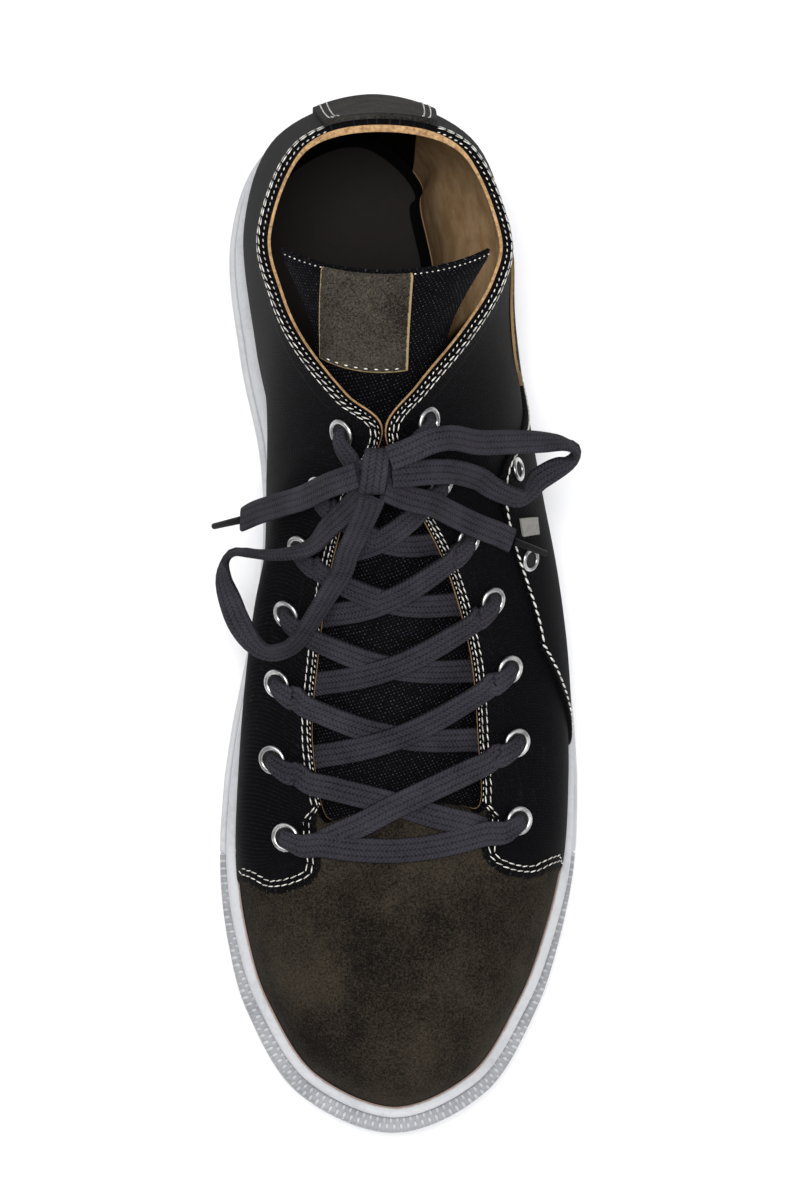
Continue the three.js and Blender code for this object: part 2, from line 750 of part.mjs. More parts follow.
// The top row: from one last eyelet over both edges, under the knot, to the other
function makeTopRow() {
  const [left, right] = [innerRow, outerRow].map((row) => {
    const [u, v] = row[eyeletCount - 1];
    const edgeU = u + 0.6 * Math.sign(row[0][0] - u);
    return [
      wallPlace(u, v, overEyelet),
      wallPlace((u + edgeU) / 2, (1 + v) / 2, overBand + clearance),
      wallPlace(edgeU, 1, overBand + clearance),
    ];
  });
  const drop = knotThickness / 2 + 3 * clearance + laceThickness / 2;
  const middle = knotMiddle.clone().addScaledVector(up, -drop);
  return strand([...left, { point: middle, facing: up }, ...right.reverse()]);
}

// The bow. Each cord is a route of points over the shoe with the turn of the lace's face in degrees, from
// the knot outwards and, for a loop, back to it.
const knotMiddle = new THREE.Vector3(-11, 26, 139.2);
const cordRoutes = {
  lace_end_inner: [
    [-15.5, 25, 138.5, 0], [-22, 23.5, 132, 0], [-26, 22.5, 125, 0], [-30, 21.5, 117, 0], [-36.5, 21, 104, 0],
    [-42, 20.5, 93, 0], [-46, 19.5, 85, 20],
  ],
  lace_end_outer: [
    [-8.3, 21.6, 137, 0], [-2, 20, 129.5, 0], [5, 19, 123.5, 0], [12, 17, 114, 0], [18, 15, 108, 0],
    [24, 13.5, 102, 0], [28, 12.2, 98, 0],
  ],
  lace_loop_inner: [
    [-13, 21.2, 136.5, 10], [-18, 17, 126.5, 20], [-22.5, 13.5, 119, 30], [-27, 9.5, 111, 45],
    [-32, 8, 106, 55], [-37.5, 8, 100.5, 60], [-42.5, 9, 94, 65], [-47, 10, 87.5, 70],
    [-50, 9, 81, 75], [-51, 4, 78, 55], [-49, -3, 75, 25], [-46.5, -9, 75, 20],
    [-42.5, -14.5, 76, 45], [-38, -17, 79.5, 60], [-33.5, -16.5, 85.5, 60], [-30, -14, 91.5, 55],
    [-26, -8.5, 99, 50], [-22, -2.5, 106, 45], [-19, 2, 112, 40], [-17.5, 6.5, 118, 35],
    [-15, 11.5, 126, 30], [-13, 15.5, 133, 20], [-11.7, 18.6, 139.2, 0],
  ],
  lace_loop_outer: [
    [-7.2, 29, 142.2, 0], [-2, 31, 142.3, 0], [4.5, 34, 140.8, 0], [10.5, 35.5, 135.5, 0],
    [17.5, 35.5, 126.5, 0], [26.5, 36.5, 120, -10], [35, 37.5, 113.5, -25], [41.5, 38, 108, -50],
    [45, 36.5, 104, -70], [44, 34, 101, -60], [39.5, 31.5, 99, -35], [35.5, 29, 98, -30],
    [33, 26, 99.5, -45], [30, 23.5, 102, -60], [25.5, 24, 107, -50], [21.5, 25.5, 111, -40],
    [18, 27, 116, -35], [11, 27.5, 126, -30], [4, 26.5, 133.5, -15], [-1.5, 25.5, 137.5, -10],
    [-6.4, 25, 138.6, -5],
  ],
};
const agletTips = {
  aglet_inner: [[-46.2, 19.5, 84.5], [-54.5, 19, 72]],
  aglet_outer: [[28.6, 12, 97.6], [37, 10, 89]],
};

// A route whose frames keep the lace's flat side facing up, apart from the turn given with the points
class LaceRoute extends THREE.CatmullRomCurve3 {
  constructor(rows) {
    super(rows.map(([x, y, z]) => new THREE.Vector3(x, y, z)));
    this.turns = rows.map((row) => row[3] * degree);
  }

  computeFrenetFrames(segments) {
    const frames = { tangents: [], normals: [], binormals: [] };
    for (let index = 0; index <= segments; index += 1) {
      const tangent = this.getTangentAt(index / segments);
      const place = this.getUtoTmapping(index / segments) * (this.turns.length - 1);
      const row = Math.min(Math.floor(place), this.turns.length - 2);
      const turn = this.turns[row] + (place - row) * (this.turns[row + 1] - this.turns[row]);
      const across = up.clone().cross(tangent).normalize().applyAxisAngle(tangent, turn);
      frames.tangents.push(tangent);
      frames.normals.push(across);
      frames.binormals.push(tangent.clone().cross(across));
    }
    return frames;
  }
}

function makeCord(rows) {
  const [wide, thick] = [laceWidth / 2, laceThickness / 2];
  const corners = [
    [wide, -thick / 2], [wide, thick / 2], [wide - thick, thick], [thick - wide, thick],
    [-wide, thick / 2], [-wide, -thick / 2], [thick - wide, -thick], [wide - thick, -thick],
  ];
  const route = new LaceRoute(rows);
  const steps = Math.round(route.getLength() / laceStep);
  const shape = new THREE.Shape(corners.map(([x, y]) => new THREE.Vector2(x, y)));
  return solidOf(new THREE.ExtrudeGeometry(shape, { steps, extrudePath: route, bevelEnabled: false }));
}

function makeKnot() {
  const body = new THREE.SphereGeometry(0.5, 8, 6).scale(knotWidth, knotLength, knotThickness);
  return solidOf(body.translate(knotMiddle.x, knotMiddle.y, knotMiddle.z));
}

function makeAglet([from, to]) {
  const start = new THREE.Vector3(...from);
  const ahead = new THREE.Vector3(...to).sub(start).normalize();
  const tube = new THREE.CylinderGeometry(agletRadius, agletRadius, agletLength, roundSides);
  const turn = new THREE.Quaternion().setFromUnitVectors(new THREE.Vector3(0, 1, 0), ahead);
  tube.translate(0, agletLength / 2, 0).applyQuaternion(turn);
  return solidOf(tube.translate(start.x, start.y, start.z));
}

const finishes = {
  rubber: { color: 0xd4d5d8, roughness: 0.55, metalness: 0 },
  tread: { color: 0xb9babd, roughness: 0.7, metalness: 0 },
  insole: { color: 0x241d1a, roughness: 0.85, metalness: 0 },
  canvas: { color: 0x17161a, roughness: 0.6, metalness: 0 },
  suede: { color: 0x3b372f, roughness: 0.95, metalness: 0 },
  metal: { color: 0xa39d92, roughness: 0.35, metalness: 1 },
  lace: { color: 0x3a3840, roughness: 0.8, metalness: 0 },
  aglet: { color: 0x17161a, roughness: 0.3, metalness: 0 },
  tab: { color: 0x9c9b98, roughness: 0.7, metalness: 0 },
};

const shoe = new THREE.Group();

function addPiece(name, body, finish) {
  const mesh = new THREE.Mesh(geometryOf(body), new THREE.MeshStandardMaterial(finishes[finish]));
  mesh.name = name;
  shoe.add(mesh);
}

addPiece("outsole", makeOutsole(), "tread");
addPiece("foxing", makeFoxing(), "rubber");
addPiece("toe_bumper", makeBumper(), "rubber");
addPiece("insole", makeInsole(), "insole");
addPiece("upper", makeUpper(), "canvas");
addPiece("tongue", makeTongue(), "canvas");
addPiece("tongue_label", makeLabel(), "suede");
addPiece("heel_strip", makeHeelStrip(), "suede");
addPiece("rear_panel", makeRearPanel(), "canvas");
addPiece("ankle_patch", makeAnklePatch(), "suede");
addPiece("side_tab", makeSideTab(), "tab");
for (const ring of [...eyelets, ...vents]) {
  addPiece(ring.name, makeEyelet(ring), "metal");
}
addPiece("lace_bar_1", makeBar(), "lace");
for (let index = 1; index < eyeletCount - 1; index += 1) {
  addPiece(`lace_cross_${index + 1}`, makeCrossing(index), "lace");
}
addPiece("lace_row_7", makeTopRow(), "lace");
addPiece("lace_knot", makeKnot(), "lace");
for (const [name, rows] of Object.entries(cordRoutes)) {
  addPiece(name, makeCord(rows), "lace");
}
for (const [name, ends] of Object.entries(agletTips)) {
  addPiece(name, makeAglet(ends), "aglet");
}

export default shoe;
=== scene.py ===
import math
import random
import bmesh
import bpy
from mathutils import Matrix, Vector


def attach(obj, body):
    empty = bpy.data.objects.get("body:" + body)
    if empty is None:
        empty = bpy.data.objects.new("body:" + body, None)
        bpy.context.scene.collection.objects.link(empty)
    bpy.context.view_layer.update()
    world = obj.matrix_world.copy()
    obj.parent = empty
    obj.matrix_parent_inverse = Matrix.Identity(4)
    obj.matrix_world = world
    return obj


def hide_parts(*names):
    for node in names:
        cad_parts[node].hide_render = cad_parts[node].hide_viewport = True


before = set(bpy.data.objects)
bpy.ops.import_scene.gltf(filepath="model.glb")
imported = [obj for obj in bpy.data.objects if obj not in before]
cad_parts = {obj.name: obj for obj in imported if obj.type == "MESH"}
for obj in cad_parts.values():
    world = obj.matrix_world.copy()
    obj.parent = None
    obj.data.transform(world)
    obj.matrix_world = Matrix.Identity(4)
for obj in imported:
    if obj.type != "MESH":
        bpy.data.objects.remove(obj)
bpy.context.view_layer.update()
chance = random.Random(7)
mm = 0.001
upward = Vector((0, 0, 1))
degree = math.pi / 180

print("camera, floor and light")

view = {
    "stand": (-0.0562, -0.1510, 1.4918),  # where the photograph was taken from
    "aim": (-0.001, 0.0005, 0.052),
    "photoFocal": 5100,  # in the photograph's pixels
    "photoHeight": 1200,
    "tilt": 6,  # degrees from straight down, towards the toe
}


def tint(code):
    parts = [int(code[place:place + 2], 16) / 255 for place in (1, 3, 5)]
    return tuple(part / 12.92 if part <= 0.04045 else ((part + 0.055) / 1.055) ** 2.4 for part in parts)


def placeCamera():
    camera = bpy.data.cameras.new("camera")
    camera.sensor_fit = "VERTICAL"
    camera.sensor_height = 36
    camera.lens = view["photoFocal"] / view["photoHeight"] * camera.sensor_height
    camera.clip_end = 20
    holder = bpy.data.objects.new("camera", camera)
    bpy.context.scene.collection.objects.link(holder)
    ahead = (Vector(view["aim"]) - Vector(view["stand"])).normalized()
    lean = view["tilt"] * degree
    across = ahead.cross(Vector((0, math.cos(lean), math.sin(lean)))).normalized()
    turn = Matrix((across, across.cross(ahead), -ahead)).transposed().to_4x4()
    holder.matrix_world = Matrix.Translation(Vector(view["stand"])) @ turn
    bpy.context.scene.camera = holder


placeCamera()

studio = {
    "skyStrength": 0.5, "sky": "#ffffff", "lampAim": (0, 0, 0.05),
    "floor": "#f4f4f5", "floorHalf": 3.0, "floorAt": -0.3,
}
lamps = [
    {"name": "overhead", "place": (-0.08, -0.1, 1.65), "size": 0.4, "power": 21},
    {"name": "window", "place": (-0.9, 0.5, 1.5), "size": 1.0, "power": 7},
    {"name": "fill", "place": (1.1, -0.3, 1.2), "size": 1.2, "power": 5},
    {"name": "toe", "place": (0.1, -1.4, 1.0), "size": 1.0, "power": 4},
]


def placeStudio():
    world = bpy.data.worlds.new("studio")
    world.use_nodes = True
    back = world.node_tree.nodes["Background"]
    back.inputs["Color"].default_value = (*tint(studio["sky"]), 1)
    back.inputs["Strength"].default_value = studio["skyStrength"]
    bpy.context.scene.world = world
    for lamp in lamps:
        light = bpy.data.lights.new(lamp["name"], "AREA")
        light.size = lamp["size"]
        light.energy = lamp["power"]
        holder = bpy.data.objects.new(lamp["name"], light)
        bpy.context.scene.collection.objects.link(holder)
        holder.location = lamp["place"]
        ahead = Vector(studio["lampAim"]) - Vector(lamp["place"])
        holder.rotation_euler = ahead.to_track_quat("-Z", "Y").to_euler()
    bpy.context.scene.view_settings.view_transform = "Standard"


placeStudio()


# A node's socket with the usual arithmetic
class Field:
    def __init__(self, finish, socket):
        self.finish = finish
        self.socket = socket

    def __add__(self, other):
        return self.finish.maths("ADD", self, other)

    def __sub__(self, other):
        return self.finish.maths("SUBTRACT", self, other)

    def __rsub__(self, other):
        return self.finish.maths("SUBTRACT", other, self)

    def __mul__(self, other):
        return self.finish.maths("MULTIPLY", self, other)

    def __truediv__(self, other):
        return self.finish.maths("DIVIDE", self, other)

    __radd__ = __add__
    __rmul__ = __mul__


# A Principled material; colours are given as hexadecimal codes, lengths in millimetres
class Finish:
    def __init__(self, name, roughness, specular=0.5, metallic=0.0):
        self.material = bpy.data.materials.new(name)
        self.material.use_nodes = True
        self.tree = self.material.node_tree
        self.tree.nodes.clear()
        values = {"Roughness": roughness, "Specular IOR Level": specular, "Metallic": metallic}
        self.shader = self.node("ShaderNodeBsdfPrincipled", values=values)
        self.node("ShaderNodeOutputMaterial", values=[Field(self, self.shader.outputs[0])])

    def node(self, kind, settings=None, values=None):
        made = self.tree.nodes.new(kind)
        for key, value in (settings or {}).items():
            setattr(made, key, value)
        pairs = values.items() if isinstance(values, dict) else enumerate(values or [])
        for key, value in pairs:
            socket = made.inputs[key]
            if isinstance(value, Field):
                self.tree.links.new(value.socket, socket)
            else:
                socket.default_value = (*tint(value), 1) if socket.type == "RGBA" else value
        return made

    def out(self, kind, settings=None, values=None, output=0):
        return Field(self, self.node(kind, settings, values).outputs[output])

    def maths(self, operation, *terms):
        return self.out("ShaderNodeMath", {"operation": operation}, terms)

    def spot(self):
        place = self.out("ShaderNodeTexCoord", output="Object")
        return self.out("ShaderNodeVectorMath", {"operation": "SCALE"}, {0: place, "Scale": 1 / mm})

    def lengthwise(self):
        pair = self.out("ShaderNodeUVMap", {"uv_map": "UVMap"})
        split = self.node("ShaderNodeSeparateXYZ", values=[pair])
        return [Field(self, split.outputs[index]) for index in range(2)]

    def reading(self, name):
        return self.out("ShaderNodeAttribute", {"attribute_name": name}, output="Fac")

    def noise(self, scale, detail=3, roughness=0.55, place=None):
        values = {"Vector": place or self.spot(), "Scale": scale, "Detail": detail, "Roughness": roughness}
        return self.out("ShaderNodeTexNoise", values=values)

    def joined(self, x, y, z=0.0):
        return self.out("ShaderNodeCombineXYZ", values=[x, y, z])

    def between(self, value, low, high):
        settings = {"interpolation_type": "SMOOTHSTEP"}
        return self.out("ShaderNodeMapRange", settings, [value, low, high, 0.0, 1.0])

    def near(self, value, place, reach, soft):
        return self.between(self.maths("ABSOLUTE", value - place), reach, soft)

    def mixed(self, share, first, second):
        return self.out("ShaderNodeMix", {"data_type": "RGBA"}, {0: share, 6: first, 7: second}, output=2)

    def wave(self, value, pitch):
        return self.maths("SINE", value * (2 * math.pi / pitch)) * 0.5 + 0.5

    def show(self, name, value):
        self.tree.links.new(value.socket, self.shader.inputs[name])

    def raised(self, height, strength, reach):
        values = {"Height": height, "Strength": strength, "Distance": reach * mm}
        self.show("Normal", self.out("ShaderNodeBump", values=values))


def link(body, name, finish, ridden=True, sharp=40):
    mesh = bpy.data.meshes.new(name)
    bmesh.ops.scale(body, vec=(mm, mm, mm), verts=body.verts)
    body.to_mesh(mesh)
    body.free()
    for face in mesh.polygons:
        face.use_smooth = True
    if sharp:
        mesh.set_sharp_from_angle(angle=sharp * degree)
    piece = bpy.data.objects.new(name, mesh)
    bpy.context.scene.collection.objects.link(piece)
    mesh.materials.append(finish.material)
    if ridden:
        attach(piece, "root")
    return piece


# A grid bent into place: spot(i, j) gives a point, a UV pair and the surface's own readings
def bentGrid(name, wide, high, spot, finish, capEnds=False, readings=(), sharp=40):
    body = bmesh.new()
    uvLayer = body.loops.layers.uv.new("UVMap")
    layers = [body.verts.layers.float.new(reading) for reading in readings]
    bmesh.ops.create_grid(body, x_segments=wide, y_segments=high, size=1)
    pairs = {}
    for vert in body.verts:
        i = round((vert.co.x + 1) / 2 * wide)
        j = round((vert.co.y + 1) / 2 * high)
        point, pair, values = spot(i, j)
        vert.co = point
        pairs[vert] = pair
        for layer, value in zip(layers, values):
            vert[layer] = value
    for face in body.faces:
        for loop in face.loops:
            loop[uvLayer].uv = pairs[loop.vert]
    bmesh.ops.remove_doubles(body, verts=body.verts, dist=0.0005)
    if capEnds:
        rim = [edge for edge in body.edges if edge.is_boundary]
        bmesh.ops.holes_fill(body, edges=rim, sides=0)
    bmesh.ops.recalc_face_normals(body, faces=body.faces)
    return link(body, name, finish, sharp=sharp)


print("finishes")


def suedeColour(finish, dark, light):
    blotch = finish.noise(0.045, 4, 0.6)
    grain = finish.noise(1.5, 4, 0.75)
    speck = finish.noise(3.2, 2, 0.6)
    share = finish.between(blotch * 0.5 + grain * 0.7 + speck * 0.45, 0.65, 1.05)
    return finish.mixed(share, dark, light), grain + speck * 0.5


# Suede with pale raw edges of a width each at its left, right, lower and upper side
def makeSuede(name, dark, light, edge, widths, size):
    finish = Finish(name, 0.95, 0.1)
    colour, nap = suedeColour(finish, dark, light)
    x, y = finish.lengthwise()
    rag = (finish.noise(0.8, 3, 0.7) - 0.5) * 0.8
    raw = 0.0
    places = (x, size[0] - x, y, size[1] - y)
    for place, width, soft in zip(places, widths, (0.1, 0.15, 0.15, 0.15)):
        if width:
            raw = finish.maths("MAXIMUM", raw, finish.between(place + rag, width + soft, width - soft))
    finish.show("Base Color", finish.mixed(raw, colour, edge))
    finish.raised(nap, 0.7, 0.4)
    return finish


canvasTones = {"dark": "#020203", "light": "#4a4a5a", "pitch": 1.1, "quarters": 0.3, "tongue": 1.0}


def canvasColour(finish, across, along, dots):
    pitch = canvasTones["pitch"]
    threads = finish.wave(across + along * 0.5, pitch) * finish.wave(along - across * 0.35, pitch * 0.9)
    fleck = finish.noise(1.4, 3, 0.7, finish.joined(across, along))
    lines = finish.joined(across * 1.5 + along, (along - across) * 0.16)
    scratch = finish.between(finish.noise(0.8, 3, 0.65, lines), 0.55, 0.85)
    worn = finish.between(finish.noise(0.04, 3, 0.5), 0.45, 0.7)
    lit = finish.between(threads, 0.5, 0.95) * finish.between(fleck, 0.42, 0.7) * dots
    colour = finish.mixed(lit + scratch * worn * 0.3, canvasTones["dark"], canvasTones["light"])
    return colour, threads * 0.6 + fleck * 0.3


def makeCanvas(name, dots):
    finish = Finish(name, 0.8, 0.06)
    across, along = finish.lengthwise()
    colour, threads = canvasColour(finish, across, along, dots)
    finish.show("Base Color", colour)
    finish.raised(threads, 0.5, 0.25)
    return finish


# the groove colour is painted shade for the groove over the strip
rubberTones = {
    "light": "#b9babd", "dark": "#8c8d91", "groove": "#6d6d72", "glue": "#6f4c34",
    # net is painted shade in the hollows between the toe guard's dots
    "bead": "#adaeb1", "net": "#74757a", "netPitch": 2.2,
}


def makeRubber():
    finish = Finish("sole rubber", 0.5, 0.35)
    cloud = finish.noise(0.06, 4, 0.6)
    smudge = finish.noise(0.6, 4, 0.7)
    share = finish.between(cloud * 0.7 + smudge * 0.4, 0.45, 0.85) * 0.6
    colour = finish.mixed(share, rubberTones["light"], rubberTones["dark"])
    # darker towards the groove over the strip: painted shade in the groove
    grooveShade = finish.between(finish.reading("groove"), 1.1, 0.2)
    colour = finish.mixed(grooveShade * 0.55, colour, rubberTones["groove"])
    glue = finish.between(finish.reading("glue") + (smudge - 0.5) * 0.8, 0.75, 0.2)
    colour = finish.mixed(glue * 0.8, colour, rubberTones["glue"])
    finish.show("Base Color", colour)
    finish.show("Roughness", smudge * 0.25 + 0.4)
    finish.raised(smudge, 0.2, 0.15)
    return finish


# Small pressed dots in slanting rows
def makeBumperRubber():
    finish = Finish("bumper rubber", 0.6)
    along, height = finish.lengthwise()
    pitch = rubberTones["netPitch"]
    rows = finish.wave(along + height * 0.6, pitch) * finish.wave(along - height * 0.6, pitch)
    bead = finish.between(rows, 0.12, 0.6)
    cloud = finish.noise(0.12, 4, 0.6)
    # the darker net between the raised dots is painted shade in the hollows
    share = (1 - bead) * 0.6 + finish.between(cloud, 0.35, 0.8) * 0.35
    finish.show("Base Color", finish.mixed(share, rubberTones["bead"], rubberTones["net"]))
    finish.raised(bead, 0.6, 0.5)
    return finish


laceTones = {"dark": "#0a0a0d", "light": "#3f3d45", "pitch": 1.15, "rib": 0.88}


# A flat braid: rows of small slanting stitches, lengthwise ribs between them
def makeLace():
    finish = Finish("lace braid", 0.85, 0.12)
    along, across = finish.lengthwise()
    wide = laceTones["rib"]
    rib = finish.maths("PINGPONG", across + 10 * wide, wide) / wide
    lean = finish.maths("PINGPONG", across + 10 * wide, 2 * wide)
    stitch = finish.wave(along + lean * 0.75, laceTones["pitch"])
    fuzz = finish.noise(1.8, 4, 0.75)
    cloud = finish.noise(0.1, 2, 0.5)
    relief = stitch * 0.5 + finish.between(rib, 0.0, 0.5) * 0.5
    share = relief * 0.4 + (fuzz - 0.5) * 1.1 + (cloud - 0.5) * 0.6 + 0.12
    finish.show("Base Color", finish.mixed(share, laceTones["dark"], laceTones["light"]))
    finish.raised(relief + fuzz * 0.3, 0.8, 0.35)
    return finish


def makeMetal():
    finish = Finish("silver", 0.3, metallic=1.0)
    wear = finish.noise(0.3, 3, 0.5)
    finish.show("Base Color", finish.mixed(finish.between(wear, 0.35, 0.75), "#8f8f90", "#d4d4d3"))
    finish.show("Roughness", wear * 0.3 + 0.18)
    return finish


def makeThread():
    finish = Finish("white thread", 0.7)
    share = finish.between(finish.noise(0.5, 3, 0.7), 0.3, 0.7)
    finish.show("Base Color", finish.mixed(share, "#8d8a84", "#e6e3dc"))
    finish.raised(finish.noise(4.0, 2, 0.6), 0.3, 0.1)
    return finish


def makePlain(name, dark, light, roughness, scale=0.5, specular=0.5):
    finish = Finish(name, roughness, specular)
    finish.show("Base Color", finish.mixed(finish.noise(scale, 4, 0.65), dark, light))
    finish.raised(finish.noise(scale * 4, 3, 0.6), 0.25, 0.15)
    return finish


vampSuede = {"dark": "#0c0a09", "light": "#383229"}

# colours, then places round the collar in ribs from the heel, then distances in from the rim in millimetres
lining = {
    # cloth is near-black painted shade over the inner lining, not a cloth; shadeFrom is where it starts
    # round the collar
    "tan": "#a5835c", "tanLight": "#c4a27a", "facing": "#cfb08a", "heel": "#120906", "cloth": "#050404",
    "spot": "#2a1a0d", "hair": "#7d7161", "rawDark": "#7d5f40", "rawLight": "#bd9a70",
    "rightTop": 0.3, "rightSpread": 0.35, "leftTop": 0.85, "leftSpread": 1.25, "strip": 0.3,
    "shadeFrom": 2.9, "facingWide": 5.2, "creaseAt": 2.9, "blackTo": -0.85, "rawTo": -1.9,
}


# The upper's one skin: canvas quarters, suede vamp, raw edge and the linings, told apart by readings
def makeUpperFinish():
    finish = Finish("upper", 0.7, 0.05)
    between, mixed, noise = finish.between, finish.mixed, finish.noise
    across, along = finish.lengthwise()
    front, rim, around, height = [finish.reading(name) for name in ("front", "rim", "around", "height")]
    canvas, threads = canvasColour(finish, across, along, canvasTones["quarters"])
    suede, nap = suedeColour(finish, vampSuede["dark"], vampSuede["light"])
    rag = noise(0.7, 4, 0.8)
    onQuarter = between(front + (rag - 0.5) * 2.6, -0.2, 0.2)
    outside = mixed(onQuarter, suede, canvas)
    hair = between(noise(1.6, 3, 0.8), 0.6, 0.7) * between(front, -1.6, -0.6) * between(front, 1.6, 0.6)
    outside = mixed(hair * 0.5, outside, lining["hair"])
    # a dark heel piece, tan leather on its outer side and a tan strip on its inner side; past them, and down
    # at the bottom, near-black painted shade
    rightEdge = (1 - height) * lining["rightSpread"] + lining["rightTop"] - around
    leftEdge = around + lining["leftTop"] + (1 - height) * lining["leftSpread"]
    stain = between(noise(0.12, 4, 0.7), 0.3, 0.7)
    leather = mixed(stain, lining["tan"], lining["tanLight"])
    leather = mixed(between(noise(0.9, 2, 0.5), 0.735, 0.76) * 0.8, leather, lining["spot"])
    strip, shadeFrom = lining["strip"], lining["shadeFrom"]
    inside = mixed(between(rightEdge, 0.0, 0.02), leather, lining["heel"])
    inside = mixed(between(leftEdge, 0.02, 0.0), inside, leather)
    inside = mixed(between(leftEdge, -strip, -strip - 0.02), inside, lining["cloth"])
    inside = mixed(between(around, shadeFrom, shadeFrom + 0.1), inside, lining["cloth"])
    inside = mixed(between(height, -0.01, -0.1), inside, lining["cloth"])
    # a paler facing along the rim, then the raw edge, then the black of the outside
    facing = mixed(stain, lining["tanLight"], lining["facing"])
    # a thin darker line at the crease in from the rim is painted shade
    facing = mixed(finish.near(rim, -lining["creaseAt"], 0.3, 0.1) * 0.4, facing, lining["tan"])
    wide = lining["facingWide"]
    welt = between(rim + (noise(0.15, 2, 0.5) - 0.5) * 1.2, -wide - 0.1, -wide + 0.1)
    inside = mixed(welt * finish.near(around, 0.0, shadeFrom + 0.2, shadeFrom), inside, facing)
    raw = mixed(between(rag, 0.3, 0.7), lining["rawDark"], lining["rawLight"])
    inside = mixed(between(rim, lining["rawTo"] - 0.1, lining["rawTo"] + 0.1), inside, raw)
    blackTo = lining["blackTo"] + finish.near(around, 0.0, 1.4, 0.4) * 1.1
    colour = mixed(between(rim + (rag - 0.5) * 0.3, blackTo, blackTo - 0.15), outside, inside)
    finish.show("Base Color", colour)
    finish.show("Roughness", onQuarter * -0.2 + 0.95)
    finish.raised(nap * (1 - onQuarter) + (threads * 0.7 + 1.2) * onQuarter, 0.55, 0.4)
    return finish


labelSize = {"wide": 24, "high": 30, "shift": 5.3, "drop": 0.3, "thick": 1.2, "from": 0.6}
patchSize, stripSize = (44, 34), (30, 112)
labelBox = (labelSize["wide"], labelSize["high"])
vampDark, vampLight = vampSuede["dark"], vampSuede["light"]
labelSuede = makeSuede("label suede", "#0f0d0c", "#4e483f", "#94805f", (0.2, 0.6, 0.55, 0), labelBox)
patchSuede = makeSuede("patch suede", vampDark, vampLight, "#8a7250", (0.25, 0.25, 0.25, 0.25), patchSize)
stripSuede = makeSuede("strip suede", "#0b0a0a", "#3e3b38", "#b9b2a6", (0, 0, 0, 0), stripSize)
canvas = makeCanvas("canvas", canvasTones["quarters"])
tongueCanvas = makeCanvas("tongue canvas", canvasTones["tongue"])
rubber = makeRubber()
bumperRubber = makeBumperRubber()
lace = makeLace()
metal = makeMetal()
thread = makeThread()
footbed = makePlain("footbed", "#070403", "#150b08", 0.9, 0.3)
tread = makePlain("tread rubber", "#8f9094", "#bcbdc1", 0.65, 0.2)
shadowHole = makePlain("dark inside", "#030303", "#060606", 0.95)
aglet = makePlain("aglet", "#020202", "#070708", 0.6, specular=0.12)
tape = makePlain("grey tape", "#55544f", "#8b8a84", 0.75, 0.8)
upperFinish = makeUpperFinish()

print("the last and its wall")

last = {
    "length": 300, "ballWidth": 104, "collarHeight": 132,
    "soleHeight": 27, "stripHeight": 12, "treadHeight": 4, "deckHeight": 12, "toeSpring": 9,
    "lip": 3.2, "stripProud": 1.7, "bumperProud": 4, "bumperHeight": 22,
    "footbed": 16.8, "wall": 2.2, "quarterStep": 0.8, "bandStep": 0.6, "clearance": 0.3,
    "lowHandle": 0.38, "highHandle": 0.4,
}

# along, out, edgeAlong, edgeOut, edgeUp, lean, fall: one rib of the wall each, round the shoe from the heel
ribRows = [
    (0.000, -0.066, 0.094, -0.070, 1.000, 0.04, 76),
    (0.040, 0.215, 0.114, 0.150, 0.995, 0.06, 80),
    (0.130, 0.318, 0.190, 0.255, 0.985, 0.08, 86),
    (0.245, 0.348, 0.238, 0.236, 0.990, 0.08, 84),
    (0.340, 0.382, 0.287, 0.150, 1.008, 0.10, 70),
    (0.420, 0.422, 0.336, 0.035, 1.026, 0.12, 54),
    (0.490, 0.460, 0.378, -0.050, 1.045, 0.14, 46),
    (0.555, 0.493, 0.428, 0.022, 0.905, 0.12, 46),
    (0.615, 0.510, 0.486, 0.122, 0.757, 0.08, 45),
    (0.675, 0.515, 0.560, 0.193, 0.621, 0.05, 40),
    (0.745, 0.504, 0.635, 0.217, 0.530, 0.02, 34),
    (0.815, 0.460, 0.697, 0.222, 0.478, 0.00, 30),
    (0.885, 0.388, 0.696, 0.135, 0.498, -0.02, 22),
    (0.962, 0.245, 0.698, 0.065, 0.506, -0.03, 18),
    (1.000, -0.008, 0.700, -0.005, 0.508, -0.03, 17),
    (0.962, -0.268, 0.703, -0.075, 0.504, -0.03, 18),
    (0.885, -0.408, 0.706, -0.142, 0.494, -0.02, 22),
    (0.815, -0.464, 0.705, -0.212, 0.474, 0.00, 30),
    (0.745, -0.486, 0.635, -0.249, 0.522, 0.02, 34),
    (0.675, -0.478, 0.562, -0.236, 0.606, 0.04, 40),
    (0.615, -0.456, 0.490, -0.208, 0.742, 0.07, 46),
    (0.555, -0.422, 0.430, -0.158, 0.900, 0.10, 48),
    (0.490, -0.386, 0.378, -0.083, 1.045, 0.12, 46),
    (0.420, -0.365, 0.345, -0.175, 1.026, 0.12, 56),
    (0.340, -0.374, 0.297, -0.283, 1.008, 0.08, 72),
    (0.245, -0.428, 0.250, -0.345, 0.994, 0.05, 84),
    (0.130, -0.456, 0.190, -0.376, 0.985, 0.05, 86),
    (0.040, -0.352, 0.114, -0.280, 0.995, 0.06, 80),
]
ribCount = len(ribRows)

